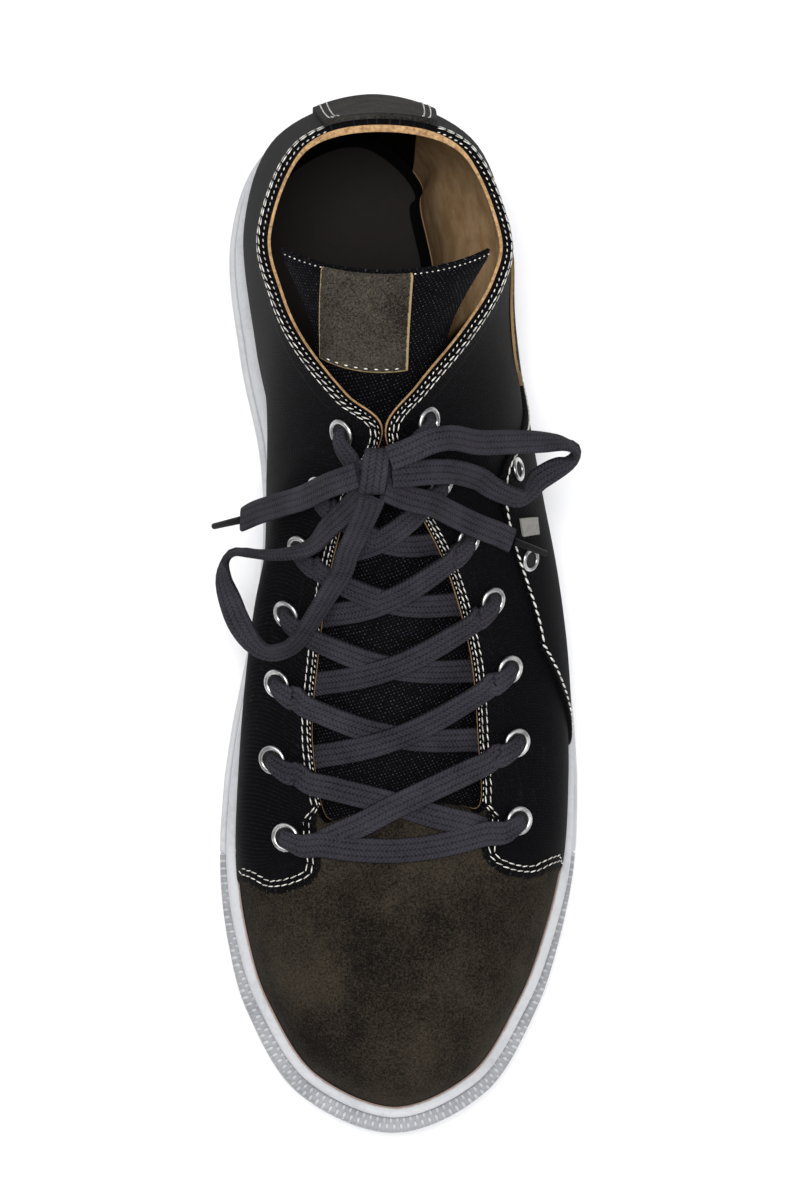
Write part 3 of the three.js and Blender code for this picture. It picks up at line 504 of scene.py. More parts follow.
# along, middle, up, half, radius: the tongue from under the vamp to its top
tongueRows = [
    (0.755, -0.010, 0.440, 0.200, 0.700),
    (0.705, -0.010, 0.471, 0.230, 0.520),
    (0.640, -0.015, 0.527, 0.265, 0.420),
    (0.570, -0.022, 0.612, 0.275, 0.370),
    (0.500, -0.040, 0.712, 0.265, 0.300),
    (0.430, -0.058, 0.838, 0.240, 0.240),
    (0.370, -0.071, 0.948, 0.205, 0.195),
    (0.303, -0.072, 1.075, 0.217, 0.212),
    (0.245, -0.064, 1.195, 0.300, 0.400),
]


def clamp(value, low, high):
    return min(high, max(low, value))


def smooth(value, low=0.0, high=1.0):
    share = clamp((value - low) / (high - low), 0, 1)
    return share * share * (3 - 2 * share)


# A smooth curve through the rows, all columns at once
def rowAt(rows, place, goesRound):
    first = math.floor(place)
    part = place - first
    count = len(rows)
    near = range(first - 1, first + 3)
    chosen = [rows[index % count] if goesRound else rows[clamp(index, 0, count - 1)] for index in near]
    return [
        b + part * ((c - a) / 2 + part * (
            a - 2.5 * b + 2 * c - d / 2 + part * ((d - a) / 2 + 1.5 * (b - c))
        ))
        for a, b, c, d in zip(*chosen)
    ]


reachRows = [rowAt(ribRows, step / 20, True) for step in range(ribCount * 20)]
alongLow, alongHigh = min(row[0] for row in reachRows), max(row[0] for row in reachRows)
outLow, outHigh = min(row[1] for row in reachRows), max(row[1] for row in reachRows)


def placeX(out):
    return last["ballWidth"] * (out - (outLow + outHigh) / 2) / (outHigh - outLow)


def placeY(along):
    return last["length"] * ((alongLow + alongHigh) / 2 - along) / (alongHigh - alongLow)


def lift(y):
    toe = clamp((0.5 - y / last["length"] - 0.73) / 0.27, 0, 1)
    return last["toeSpring"] * toe * toe


outlines = {}


def outline(u):
    key = round(u % ribCount, 4)
    if key not in outlines:
        here, before, after = [rowAt(ribRows, u + step, True) for step in (0, -0.02, 0.02)]
        right, back = placeX(after[1]) - placeX(before[1]), placeY(after[0]) - placeY(before[0])
        ahead = Vector((right, back, 0)).normalized()
        outlines[key] = (Vector((placeX(here[1]), placeY(here[0]), 0)), Vector((-ahead.y, ahead.x, 0)))
    return outlines[key]


def insetPoint(u, inset, height):
    point, outward = outline(u)
    made = point - outward * inset
    made.z = lift(made.y) + height
    return made


def stripReach(u):
    toe = clamp(1 - abs(u % ribCount - ribCount / 2) / 4.5, 0, 1)
    return last["stripProud"] + (last["bumperProud"] - last["stripProud"]) * toe * toe * (3 - 2 * toe)


def lipInset(u):
    return stripReach(u) + last["lip"]


ribs = {}


def ribCurve(u):
    key = round(u % ribCount, 4)
    if key not in ribs:
        outward = outline(u)[1]
        foot = insetPoint(u, lipInset(u) + last["clearance"], last["soleHeight"] + last["clearance"])
        row = rowAt(ribRows, u, True)
        edge = Vector((placeX(row[3]), placeY(row[2]), row[4] * last["collarHeight"]))
        chord = (edge - foot).length
        fall = row[6] * degree
        low = foot + upward * (last["lowHandle"] * chord) + outward * (last["lowHandle"] * chord * row[5])
        high = edge + outward * (last["highHandle"] * chord * math.cos(fall))
        high -= upward * (last["highHandle"] * chord * math.sin(fall))
        ribs[key] = (foot, low, high, edge)
    return ribs[key]


def wallPoint(u, v):
    foot, low, high, edge = ribCurve(u)
    if v < 0:
        return foot + upward * (v * (last["soleHeight"] - last["deckHeight"]))
    w = 1 - v
    return foot * (w * w * w) + low * (3 * w * w * v) + high * (3 * w * v * v) + edge * (v * v * v)


def wallNormal(u, v):
    if v < 0:
        return outline(u)[1]
    held = clamp(v, 0.02, 0.98)
    across = wallPoint(u + 0.05, held) - wallPoint(u - 0.05, held)
    return (wallPoint(u, held + 0.02) - wallPoint(u, held - 0.02)).cross(across).normalized()


def offWall(u, v, offset):
    return wallPoint(u, v) + wallNormal(u, v) * offset


def below(u, distance):
    steps = 40
    gone = 0
    previous = wallPoint(u, 1)
    for step in range(1, steps):
        point = wallPoint(u, 1 - step / steps)
        part = (point - previous).length
        if gone + part > distance:
            return 1 - (step - 1 + (distance - gone) / part) / steps
        gone += part
        previous = point
    return 0


def tonguePoint(s, w, offset):
    def middle(place):
        row = rowAt(tongueRows, place, False)
        return Vector((placeX(row[1]), placeY(row[0]), row[2] * last["collarHeight"]))

    row = rowAt(tongueRows, s, False)
    out = Vector((1, 0, 0)).cross((middle(s + 0.05) - middle(s - 0.05)).normalized()).normalized()
    radius = row[4] * last["ballWidth"]
    angle = w * row[3] * last["ballWidth"] / radius
    reach = radius + offset
    return middle(s) + Vector((reach * math.sin(angle), 0, 0)) + out * (reach * math.cos(angle) - radius)


throatOuter, throatInner = 11, 17
eyeletLine = {"inset": 13, "pitch": 22.3, "count": 7}


def eyeletRow(start, turn):
    places, u, gone = [start], start, 0
    previous = wallPoint(u, below(u, eyeletLine["inset"]))
    while len(places) < eyeletLine["count"]:
        u += turn * 0.02
        point = wallPoint(u, below(u, eyeletLine["inset"]))
        gone += (point - previous).length
        previous = point
        if gone >= eyeletLine["pitch"]:
            places.append(u)
            gone -= eyeletLine["pitch"]
    return [(place, below(place, eyeletLine["inset"])) for place in places]


outerRow = eyeletRow(throatOuter - 0.2, -1)
innerRow = eyeletRow(throatInner, 1)

print("cords of the bow")

laceSize = {"wide": 7, "thick": 1.6}
knotMiddle = Vector((-11, 26, 139.2))

# each row: x, y, z and the turn of the lace's face in degrees, as the CAD's cords run
cordRoutes = {
    "lace_end_inner": [
        (-15.5, 25, 138.5, 0), (-22, 23.5, 132, 0), (-26, 22.5, 125, 0), (-30, 21.5, 117, 0),
        (-36.5, 21, 104, 0), (-42, 20.5, 93, 0), (-46, 19.5, 85, 20),
    ],
    "lace_end_outer": [
        (-8.3, 21.6, 137, 0), (-2, 20, 129.5, 0), (5, 19, 123.5, 0), (12, 17, 114, 0), (18, 15, 108, 0),
        (24, 13.5, 102, 0), (28, 12.2, 98, 0),
    ],
    "lace_loop_inner": [
        (-13, 21.2, 136.5, 10), (-18, 17, 126.5, 20), (-22.5, 13.5, 119, 30), (-27, 9.5, 111, 45),
        (-32, 8, 106, 55), (-37.5, 8, 100.5, 60), (-42.5, 9, 94, 65), (-47, 10, 87.5, 70),
        (-50, 9, 81, 75), (-51, 4, 78, 55), (-49, -3, 75, 25), (-46.5, -9, 75, 20),
        (-42.5, -14.5, 76, 45), (-38, -17, 79.5, 60), (-33.5, -16.5, 85.5, 60), (-30, -14, 91.5, 55),
        (-26, -8.5, 99, 50), (-22, -2.5, 106, 45), (-19, 2, 112, 40), (-17.5, 6.5, 118, 35),
        (-15, 11.5, 126, 30), (-13, 15.5, 133, 20), (-11.7, 18.6, 139.2, 0),
    ],
    "lace_loop_outer": [
        (-7.2, 29, 142.2, 0), (-2, 31, 142.3, 0), (4.5, 34, 140.8, 0), (10.5, 35.5, 135.5, 0),
        (17.5, 35.5, 126.5, 0), (26.5, 36.5, 120, -10), (35, 37.5, 113.5, -25), (41.5, 38, 108, -50),
        (45, 36.5, 104, -70), (44, 34, 101, -60), (39.5, 31.5, 99, -35), (35.5, 29, 98, -30),
        (33, 26, 99.5, -45), (30, 23.5, 102, -60), (25.5, 24, 107, -50), (21.5, 25.5, 111, -40),
        (18, 27, 116, -35), (11, 27.5, 126, -30), (4, 26.5, 133.5, -15), (-1.5, 25.5, 137.5, -10),
        (-6.4, 25, 138.6, -5),
    ],
}
agletTips = {
    "aglet_inner": ((-46.2, 19.5, 84.5), (-54.5, 19, 72)),
    "aglet_outer": ((28.6, 12, 97.6), (37, 10, 89)),
}
agletSize = {"radius": 1.1, "length": 14}


# A flat braid swept through stations of point, facing, width and thickness
def makeRibbon(name, stations):
    around = 16
    lengths = [0.0]
    for index in range(1, len(stations)):
        lengths.append(lengths[-1] + (stations[index][0] - stations[index - 1][0]).length)

    def spot(i, j):
        point, facing, wide, thick = stations[i]
        ahead = (stations[min(i + 1, len(stations) - 1)][0] - stations[max(i - 1, 0)][0]).normalized()
        across = ahead.cross(facing).normalized()
        above = across.cross(ahead)
        angle = 2 * math.pi * (j % around) / around
        side = math.copysign(abs(math.cos(angle)) ** 0.45, math.cos(angle)) * wide / 2
        rise = math.copysign(abs(math.sin(angle)) ** 0.6, math.sin(angle)) * thick / 2
        return point + across * side + above * rise, (lengths[i], side), ()

    return bentGrid(name, len(stations) - 1, around, spot, lace, capEnds=True)


def smoothed(rows, per):
    count = (len(rows) - 1) * per
    return [rowAt(rows, index / per, False) for index in range(count + 1)]


def routeStations(rows):
    points = smoothed(rows, 4)
    stations = []
    for index, (x, y, z, turn) in enumerate(points):
        after, before = points[min(index + 1, len(points) - 1)], points[max(index - 1, 0)]
        ahead = (Vector(after[:3]) - Vector(before[:3])).normalized()
        across = Matrix.Rotation(turn * degree, 3, ahead) @ upward.cross(ahead).normalized()
        stations.append((Vector((x, y, z)), ahead.cross(across), laceSize["wide"], laceSize["thick"]))
    return stations


def makeAglet(name, ends):
    body = bmesh.new()
    start, end = Vector(ends[0]), Vector(ends[1])
    ahead = (end - start).normalized()
    turn = upward.rotation_difference(ahead).to_matrix().to_4x4()
    radius, length = agletSize["radius"], agletSize["length"]
    middle = Matrix.Translation(start + ahead * length / 2)
    bmesh.ops.create_cone(body, cap_ends=True, segments=20, radius1=radius, radius2=radius * 0.8,
                          depth=length, matrix=middle @ turn)
    rims = [edge for edge in body.edges if any(len(face.verts) > 4 for face in edge.link_faces)]
    bmesh.ops.bevel(body, geom=rims, offset=0.25, segments=2, profile=0.5, affect="EDGES", material=-1)
    piece = link(body, name.replace("aglet_", "bow_tip_"), aglet)
    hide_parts(name)
    return piece


def makeCords():
    for name, rows in cordRoutes.items():
        stations = routeStations(rows)
        piece = makeRibbon(name.replace("lace_", "bow_"), stations)
        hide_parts(name)
        path = [tuple(station[0] * mm) for station in stations]
        length = sum((Vector(b) - Vector(a)).length for a, b in zip(path, path[1:]))
        tips = []
        if name.startswith("lace_end"):
            side = name.split("_")[-1]
            tips = [makeAglet(f"aglet_{side}", agletTips[f"aglet_{side}"])]
        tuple(path[0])
        print("  ", name, round(length * 1000), "mm")


makeCords()

print("upper")

# The front edge of the quarters seen from above, as shares of length and width
quarterFront = [
    (0.760, -0.60), (0.760, -0.44), (0.776, -0.35), (0.769, -0.25), (0.750, -0.214), (0.69, -0.210),
    (0.66, 0), (0.69, 0.214), (0.740, 0.218), (0.758, 0.27), (0.762, 0.36), (0.748, 0.456), (0.744, 0.60),
]
frontLine = [Vector((placeX(row[1]), placeY(row[0]))) for row in smoothed(quarterFront, 5)]


# How far a plan point lies behind the quarters' front edge, less than nothing on the vamp
def frontGap(x, y):
    best, sign = 1e9, 1
    here = Vector((x, y))
    for start, end in zip(frontLine, frontLine[1:]):
        step = end - start
        share = clamp((here - start).dot(step) / step.length_squared, 0, 1)
        gap = (here - start - step * share).length
        if gap < best:
            best = gap
            sign = 1 if step.cross(here - start) > 0 else -1
    return best * sign


# soft troughs and ridges: two ends in plan, depth and half width in millimetres
creases = [
    ((-40, -84), (-12, -92), -0.7, 5), ((8, -90), (40, -82), -0.6, 5), ((-30, -100), (24, -102), 0.5, 9),
    ((-36, -8), (-44, 22), -0.6, 4), ((30, -8), (44, -30), -0.5, 5), ((26, 20), (34, 52), -0.6, 5),
    ((-40, 40), (-42, 76), -0.7, 6), ((28, 60), (27, 92), -0.5, 6), ((-18, -128), (14, -130), 0.4, 8),
]


def relief(point):
    total = 0
    for start, end, depth, reach in creases:
        a, b = Vector(start), Vector(end)
        step = b - a
        here = Vector((point.x, point.y)) - a
        share = clamp(here.dot(step) / step.length_squared, 0, 1)
        gap = (here - step * share).length / reach
        if gap < 2.5:
            total += depth * math.exp(-gap * gap) * math.sin(math.pi * clamp(0.15 + share * 0.7, 0, 1))
    return total


# rows of the mesh, then what one rib and the wall's height count as in the canvas's weave, in millimetres
upperMesh = {"perRib": 10, "lowRows": 36, "innerRows": 22, "ribLength": 21.0, "height": 95.0}
pad = {"deep": 15, "from": -0.5, "rise": 2.2, "to": 4.4}  # padding inside the heel's outer side
bandRows = [9.2, 8.7, 8.3, 8.0, 7.6, 6.4, 5.0, 3.6, 2.2, 1.2, 0.5]
rimShape = {"rows": 7, "dome": 0.45, "sunk": 0.1}
innerBandRows = [0.5, 1.2, 2.4, 4.0, 6.5, 9.2]
wellBehind = 50  # stands for any place far from the quarters' front edge


# The edge band's share of its full step: all of it round the collar, nothing where the vamp meets the throat
def bandShare(u):
    onVamp = smooth(u, throatOuter + 0.1, throatOuter + 0.6)
    return 1 - onVamp * (1 - smooth(u, throatInner - 0.6, throatInner - 0.1))


# How far the upper's outer skin stands out from the wall: the quarters' step and the edge band's
def skinRise(u, v, gap=None):
    u = u % ribCount
    bare = wallPoint(u, v)
    front = frontGap(bare.x, bare.y) if 8 < u < 20 else wellBehind
    rise = last["quarterStep"] * smooth(front, -0.6, 0.6) if v >= 0 else 0
    if gap is None and v > 0.4:
        gap = 8 if v > below(u, 8.0) else 9
    if gap is not None:
        rise += last["bandStep"] * bandShare(u) * smooth(8.4 - gap, 0, 0.8)
    return rise, front


def makeUpper():
    wide, lowCount, innerCount = [upperMesh[key] for key in ("perRib", "lowRows", "innerRows")]
    wide *= ribCount

    def column(i):
        u = ((i % wide) / upperMesh["perRib"] + ribCount / 2) % ribCount
        top = below(u, bandRows[0])
        chord = (wallPoint(u, 1) - wallPoint(u, 0)).length
        around = (u + ribCount / 2) % ribCount - ribCount / 2
        rows = []

        def outside(v, gap):
            offset, front = skinRise(u, v, gap or 20)
            point = offWall(u, v, offset)
            if v > 0.03:
                point += wallNormal(u, v) * relief(point) * smooth(v, 0.03, 0.2) * smooth(1 - v, 0, 0.12)
            distance = chord * (1 - v) if gap is None else gap
            rows.append((point, front, distance + 2, v))

        for v in (-0.95, -0.5, -0.12, 0.0):
            outside(v, None)
        for step in range(1, lowCount):
            outside(top * step / lowCount, None)
        for gap in bandRows:
            outside(below(u, gap), gap)
        edge = wallPoint(u, 1)
        inThroat = throatOuter + 0.3 < u < throatInner - 0.3
        front = frontGap(edge.x, edge.y) if inThroat else wellBehind
        outer = last["quarterStep"] * smooth(front, -0.6, 0.6) + last["bandStep"] * bandShare(u)
        ahead = (wallPoint(u, 1) - wallPoint(u, 0.97)).normalized()
        middle = (outer - last["wall"]) / 2
        half = (outer + last["wall"]) / 2
        padded = pad["deep"] * smooth(around, pad["from"], pad["from"] + pad["rise"])
        padded *= 1 - smooth(around, pad["to"], pad["to"] + 2)

        def inner(v):
            return offWall(u, v, -last["wall"] - padded * smooth(1 - v, 0.08, 0.85))

        for step in range(rimShape["rows"]):
            angle = math.pi * (step + 0.5) / rimShape["rows"]
            dome = rimShape["dome"] * math.sin(angle) - rimShape["sunk"]
            point = offWall(u, 1, middle + half * math.cos(angle)) + ahead * dome
            rows.append((point, front, half * math.cos(angle), 1))
        for gap in innerBandRows:
            rows.append((inner(below(u, gap)), wellBehind, -gap - half, below(u, gap)))
        for step in range(1, innerCount + 1):
            v = top * (1 - step / innerCount)
            rows.append((inner(v), wellBehind, -chord * (1 - v), v))
        foot = inner(0) - upward * (last["soleHeight"] - last["footbed"])
        for inwards, down, v in ((0, 0, 0), (3.5, 0, -1), (3, 3, -1)):
            rows.append((foot - outline(u)[1] * inwards - upward * down, wellBehind, -chord, v))
        return rows, around

    columns = [column(i) for i in range(wide)]
    high = len(columns[0][0])

    def spot(i, j):
        rows, around = columns[i % wide]
        point, front, rim, v = rows[j % high]
        if i in (0, wide):
            around = ribCount / 2 if i else -ribCount / 2
        return point, (around * upperMesh["ribLength"], v * upperMesh["height"]), (front, rim, around, v)

    piece = bentGrid("upper_shell", wide, high, spot, upperFinish, sharp=50,
                     readings=("front", "rim", "around", "height"))
    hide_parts("upper")


makeUpper()

print("rubber")

bumperHalf = 4.2
bumperFrom, bumperTo = ribCount / 2 - bumperHalf, ribCount / 2 + bumperHalf


def bumperTop(u):
    toe = clamp(1 - abs(u - ribCount / 2) / bumperHalf, 0, 1)
    extra = last["bumperHeight"] - last["stripHeight"]
    return last["stripHeight"] + extra * math.sin(toe * math.pi / 2) ** 1.5


def makeFoxing():
    perRib = 12
    wide = ribCount * perRib
    bottom = last["treadHeight"] + last["clearance"]
    top, strip = last["soleHeight"], last["stripHeight"]

    # inset from the outline, height, and distance from the groove over the strip
    def profile(u):
        band, lip = stripReach(u), lipInset(u) + 0.1
        rows = [
            (0.5, bottom, 5), (0.12, bottom + 0.4, 5), (0, bottom + 1.2, 5), (0, (bottom + strip) / 2, 5),
            (0, strip - 1.4, 3), (0.15, strip - 0.7, 2), (0.5, strip - 0.2, 1.5), (1.0, strip, 1),
            (band * 0.75 + 0.2, strip + 0.05, 0.6), (band + 0.35, strip, 0), (band + 0.5, strip + 0.35, 0),
            (band + 0.15, strip + 0.8, 0.5), (band, strip + 1.5, 1.2), (band, strip + 2.5, 2),
            (band + 0.1, strip + 5, 3), (band + 0.2, strip + 9, 4), (band + 0.25, top - 1.6, 5),
            (band + 0.45, top - 0.8, 5), (band + 0.9, top - 0.2, 5), (band + 1.5, top, 5),
            (band + 2.4, top, 5), (lip, top, 5), (lip, top - 3, 5), (lip, bottom, 5),
        ]
        if bumperFrom - 0.03 < u < bumperTo + 0.03:
            least = band + 0.05
            rows = [(max(row[0], least) if row[1] < strip + 2.5 else row[0], *row[1:]) for row in rows]
        return rows

    columns = [profile(i / perRib) for i in range(wide)]
    high = len(columns[0])

    def spot(i, j):
        u = (i % wide) / perRib
        inset, height, groove = columns[i % wide][j % high]
        glue = max(0, lipInset(u) - inset) + max(0, last["soleHeight"] - height)
        return insetPoint(u, inset, height), (i * 1.75, height), (glue, groove)

    piece = bentGrid("foxing_band", wide, high, spot, rubber, readings=("glue", "groove"), sharp=60)
    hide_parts("foxing")


def makeBumper():
    wide = 170
    bottom = last["treadHeight"]

    def place(i):
        return bumperFrom + (bumperTo - bumperFrom) * i / wide

    def profile(u):
        deep, top = stripReach(u) + 0.15, bumperTop(u)
        rise = top - bottom
        return [
            (deep, bottom), (0.6, bottom), (0.15, bottom + 0.35), (0, bottom + 1), (0, bottom + rise * 0.25),
            (0, bottom + rise * 0.45), (0, bottom + rise * 0.65), (0.02, bottom + rise * 0.8),
            (0.15, top - 1.0), (0.45, top - 0.4), (1.0, top - 0.05), (1.6, top), (deep, top),
            (deep, (top + bottom) / 2),
        ]

    columns = [profile(place(i)) for i in range(wide + 1)]
    high = len(columns[0])
    run = [0.0]
    for i in range(1, wide + 1):
        run.append(run[-1] + (outline(place(i))[0] - outline(place(i - 1))[0]).length)

    def spot(i, j):
        inset, height = columns[i][j % high]
        return insetPoint(place(i), inset, height), (run[i], height - inset), ()

    piece = bentGrid("toe_guard", wide, high, spot, bumperRubber, capEnds=True, sharp=50)
    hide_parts("toe_bumper")


makeFoxing()
makeBumper()

print("patches")


# A patch with soft edges on a surface: point(a, b, offset) with a along and b up it, both from 0 to 1
def makePatch(name, point, wide, high, inner, outer, finish, node, size):
    rows = [(0.0, inner), (0.0, outer - 0.45), (0.012, outer - 0.1)]
    rows += [(share / high, outer) for share in range(1, high)]
    rows += [(0.988, outer - 0.1), (1.0, outer - 0.45), (1.0, inner)]
    rows += [(1 - share / high, inner) for share in range(1, high)]

    def spot(i, j):
        a = clamp((i - 1) / (wide - 2), 0, 1)
        b, offset = rows[j % len(rows)]
        if i in (0, wide) and offset > inner:
            offset = inner + 0.4 * (offset - inner)
        return point(a, b, offset), (a * size[0], b * size[1]), ()

    piece = bentGrid(name, wide, len(rows), spot, finish, capEnds=True, sharp=55)
    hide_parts(node)


def labelW(place, s):
    return place / (last["ballWidth"] * rowAt(tongueRows, s, False)[3])


def tonguePatch():
    top = len(tongueRows) - 1
    pitch = (tonguePoint(top, 0, 0) - tonguePoint(top - 1, 0, 0)).length
    high = top - labelSize["drop"] / pitch
    low = high - labelSize["high"] / pitch
    left = -labelSize["shift"] - labelSize["wide"] / 2

    def point(a, b, offset):
        s = low + (high - low) * b
        bulge = 0.5 * math.sin(math.pi * a) * math.sin(math.pi * b)
        return tonguePoint(s, labelW(left + labelSize["wide"] * a, s), offset - 0.1 + bulge * (offset > 0.4))

    inner, outer = labelSize["from"] - 0.3, labelSize["from"] + labelSize["thick"]
    makePatch("tongue_tag", point, 26, 28, inner, outer, labelSuede, "tongue_label", labelBox)
    return low, left


labelLow, labelLeft = tonguePatch()

panelTop = [(0.12,), (0.12,), (0.13,), (0.17,), (0.38,), (0.56,), (0.64,), (0.65,), (0.58,)]
panelFront, stripHalf = 8.25, 0.56
heelTape = {"thick": 1.5, "length": 105, "foldAt": 9.6, "dent": 0.55, "dentHalf": 0.9}
quarterStep = last["quarterStep"]
panelOuter = quarterStep + 1.1


def panelEdge(u):
    return rowAt(panelTop, u, False)[0]


# The strip up the heel, raised over the edge band at its upper end, with a dent where it meets it
def heelPoint(a, b, offset):
    u = -stripHalf + 2 * stripHalf * a
    v = 0.01 + b * 0.985
    gap = (1 - v) * heelTape["length"]
    dent = heelTape["dent"] * math.exp(-((gap - heelTape["foldAt"]) / heelTape["dentHalf"]) ** 2)
    rise = last["bandStep"] * smooth(9.5 - gap, 0, 1) - dent
    return offWall(u, v, offset + (rise if offset > quarterStep else 0))


patchInner = quarterStep - 0.2
heelOuter = quarterStep + heelTape["thick"]
makePatch("heel_tape", heelPoint, 20, 90, patchInner, heelOuter, stripSuede,
          "heel_strip", stripSize)


def panelPoint(a, b, offset):
    u = stripHalf + 0.06 + (panelFront - stripHalf - 0.06) * a
    return offWall(u, 0.01 + b * (panelEdge(u) - 0.01), offset)


makePatch("rear_canvas", panelPoint, 110, 30, patchInner, panelOuter, canvas,
          "rear_panel", (190, 50))


def anklePoint(a, b, offset):
    u = 2.95 + 0.75 * (2 * a - 1)
    reach = 0.15 * (0.4 + 0.6 * math.sqrt(max(0, 1 - (2 * a - 1) ** 2)))
    return offWall(u, 0.42 + reach * (2 * b - 1), offset)


patchOuter = quarterStep + 0.8
makePatch("ankle_suede", anklePoint, 24, 20, patchInner, patchOuter, patchSuede,
          "ankle_patch", patchSize)

tabFoot, tabHead, tabWidth = (6.02, 0.47), (6.42, 0.58), 0.25


def tabPoint(a, b, offset):
    u = tabFoot[0] + b * (tabHead[0] - tabFoot[0]) + tabWidth * a
    return offWall(u, tabFoot[1] + b * (tabHead[1] - tabFoot[1]), offset)


tabInner, tabOuter = panelOuter - 0.4, panelOuter + 0.7
makePatch("side_tape", tabPoint, 8, 18, tabInner, tabOuter, tape, "side_tab", (4, 12))

print("tongue")


def makeTongue():
    wide, long, thick = 36, 84, 2.4
    top = len(tongueRows) - 1
    pitch = (tonguePoint(top, 0, 0) - tonguePoint(top - 1, 0, 0)).length
    around = [(-1 + 2 * k / wide, 0.0) for k in range(wide + 1)] + [(1.004, -thick / 2)]
    around += [(1 - 2 * k / wide, -thick) for k in range(wide + 1)] + [(-1.004, -thick / 2)]

    def spot(i, j):
        s = 0.3 + (top - 0.3) * i / long
        w, offset = around[j % len(around)]
        closing = smooth(i, long, long - 2)
        offset = -thick / 2 + (offset + thick / 2) * (0.45 + 0.55 * closing)
        point = tonguePoint(s, w, offset)
        half = last["ballWidth"] * rowAt(tongueRows, s, False)[3]
        ripple = 0.5 * math.sin(s * 2.1 + 0.6) * math.cos(w * 1.7) * smooth(s, 6.2, 7.4)
        point += Vector((0, 0, ripple))
        return point, (w * half, s * pitch), ()

    piece = bentGrid("tongue_cloth", long, len(around), spot, tongueCanvas, capEnds=True, sharp=60)
    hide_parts("tongue")


makeTongue()

print("eyelets")

ringSize = {"hole": 2.7, "outer": 4.25, "high": 1.0, "seat": 0.35}
vents = [(6.92, 0.555), (5.6, 0.57)]


def standing(u, v, offset):
    turn = upward.rotation_difference(wallNormal(u, v)).to_matrix().to_4x4()
    return Matrix.Translation(offWall(u, v, offset)) @ turn


def makeEyelets():
    rings, holes = bmesh.new(), bmesh.new()
    places = [(u, v, quarterStep + ringSize["seat"], 1) for u, v in outerRow + innerRow]
    places += [(u, v, panelOuter + 0.05, 0.8) for u, v in vents]
    middle = (ringSize["hole"] + ringSize["outer"]) / 2
    half = (ringSize["outer"] - ringSize["hole"]) / 2
    for u, v, seat, share in places:
        matrix = standing(u, v, seat) @ Matrix.Diagonal((share, share, share * 0.8, 1))
        upright = Matrix.Translation((middle, 0, 0.15)) @ Matrix.Rotation(math.pi / 2, 4, "X")
        made = bmesh.ops.create_circle(rings, segments=12, radius=half, matrix=upright)
        bmesh.ops.scale(rings, vec=(1, 1, ringSize["high"] / half * 0.85), verts=made["verts"])
        edges = list({edge for vert in made["verts"] for edge in vert.link_edges})
        bmesh.ops.spin(rings, geom=made["verts"] + edges, cent=(0, 0, 0), axis=(0, 0, 1),
                       angle=2 * math.pi, steps=40, use_merge=True)
        fresh = [vert for vert in rings.verts if not vert.tag]
        bmesh.ops.transform(rings, matrix=matrix, verts=fresh)
        for vert in rings.verts:
            vert.tag = True
        level = matrix @ Matrix.Translation((0, 0, 0.1))
        radius = ringSize["hole"] + 0.2
        bmesh.ops.create_circle(holes, segments=24, radius=radius, cap_ends=True, matrix=level)
    bmesh.ops.remove_doubles(rings, verts=rings.verts, dist=0.001)
    bmesh.ops.recalc_face_normals(rings, faces=rings.faces)
    bmesh.ops.solidify(holes, geom=holes.faces, thickness=0.3)
    bmesh.ops.recalc_face_normals(holes, faces=holes.faces)
    piece = link(rings, "eyelet_rings", metal)
    names = [f"eyelet_{side}_{index}" for side in ("outer", "inner") for index in range(1, 8)]
    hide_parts(*names, "vent_1", "vent_2")
    dark = link(holes, "eyelet_holes", shadowHole)


makeEyelets()

print("laces")

laceRise = laceSize["thick"] / 2 + 0.25
overBand = quarterStep + last["bandStep"] + laceRise + 0.2
overRing = quarterStep + ringSize["seat"] + ringSize["high"] + laceRise - 0.1


def surfaceAt(surface, first, x, y):
    a, b = first
    small = 0.01
    for _ in range(8):
        here = surface(a, b)
        alongA = (surface(a + small, b) - here) / small
        alongB = (surface(a, b + small) - here) / small
        area = alongA.x * alongB.y - alongA.y * alongB.x
        dx, dy = x - here.x, y - here.y
        a += (dx * alongB.y - dy * alongB.x) / area
        b += (dy * alongA.x - dx * alongA.y) / area
    facing = alongA.cross(alongB).normalized()
    return surface(a, b), facing if facing.z > 0 else -facing


# how a lace comes up out of an eyelet: along, rise and lean of its face, then width and thickness
eyeletExit = [
    (-0.9, -1.2, -1.0, 4.0, 2.4), (-0.5, 0.6, -0.9, 4.2, 2.3), (1.2, 2.3, -0.5, 4.8, 2.1),
    (4.0, 2.9, -0.1, 5.8, 1.8), (7.0, 2.6, 0, 6.7, 1.6),
]


def outOfEyelet(u, v, towards):
    middle, normal = offWall(u, v, 0), wallNormal(u, v)
    way = towards - middle
    way = (way - normal * way.dot(normal)).normalized()
    stations = []
    for along, rise, lean, wide, thick in eyeletExit:
        point = middle + way * along + normal * (rise + quarterStep)
        stations.append((point, (normal + way * lean).normalized(), wide, thick))
    return stations


def swept(stations, per):
    rows = [tuple(point) + tuple(facing) + (wide, thick) for point, facing, wide, thick in stations]
    return [(Vector(row[:3]), Vector(row[3:6]).normalized(), row[6], row[7]) for row in smoothed(rows, per)]


lowered = 0.22  # how far below the level of the eyelet before a strand goes in, as a share of the step
lowEnds = {-1: (0.731, -0.219), 1: (0.716, 0.213)}  # where the lowest strands end on the vamp, along and out


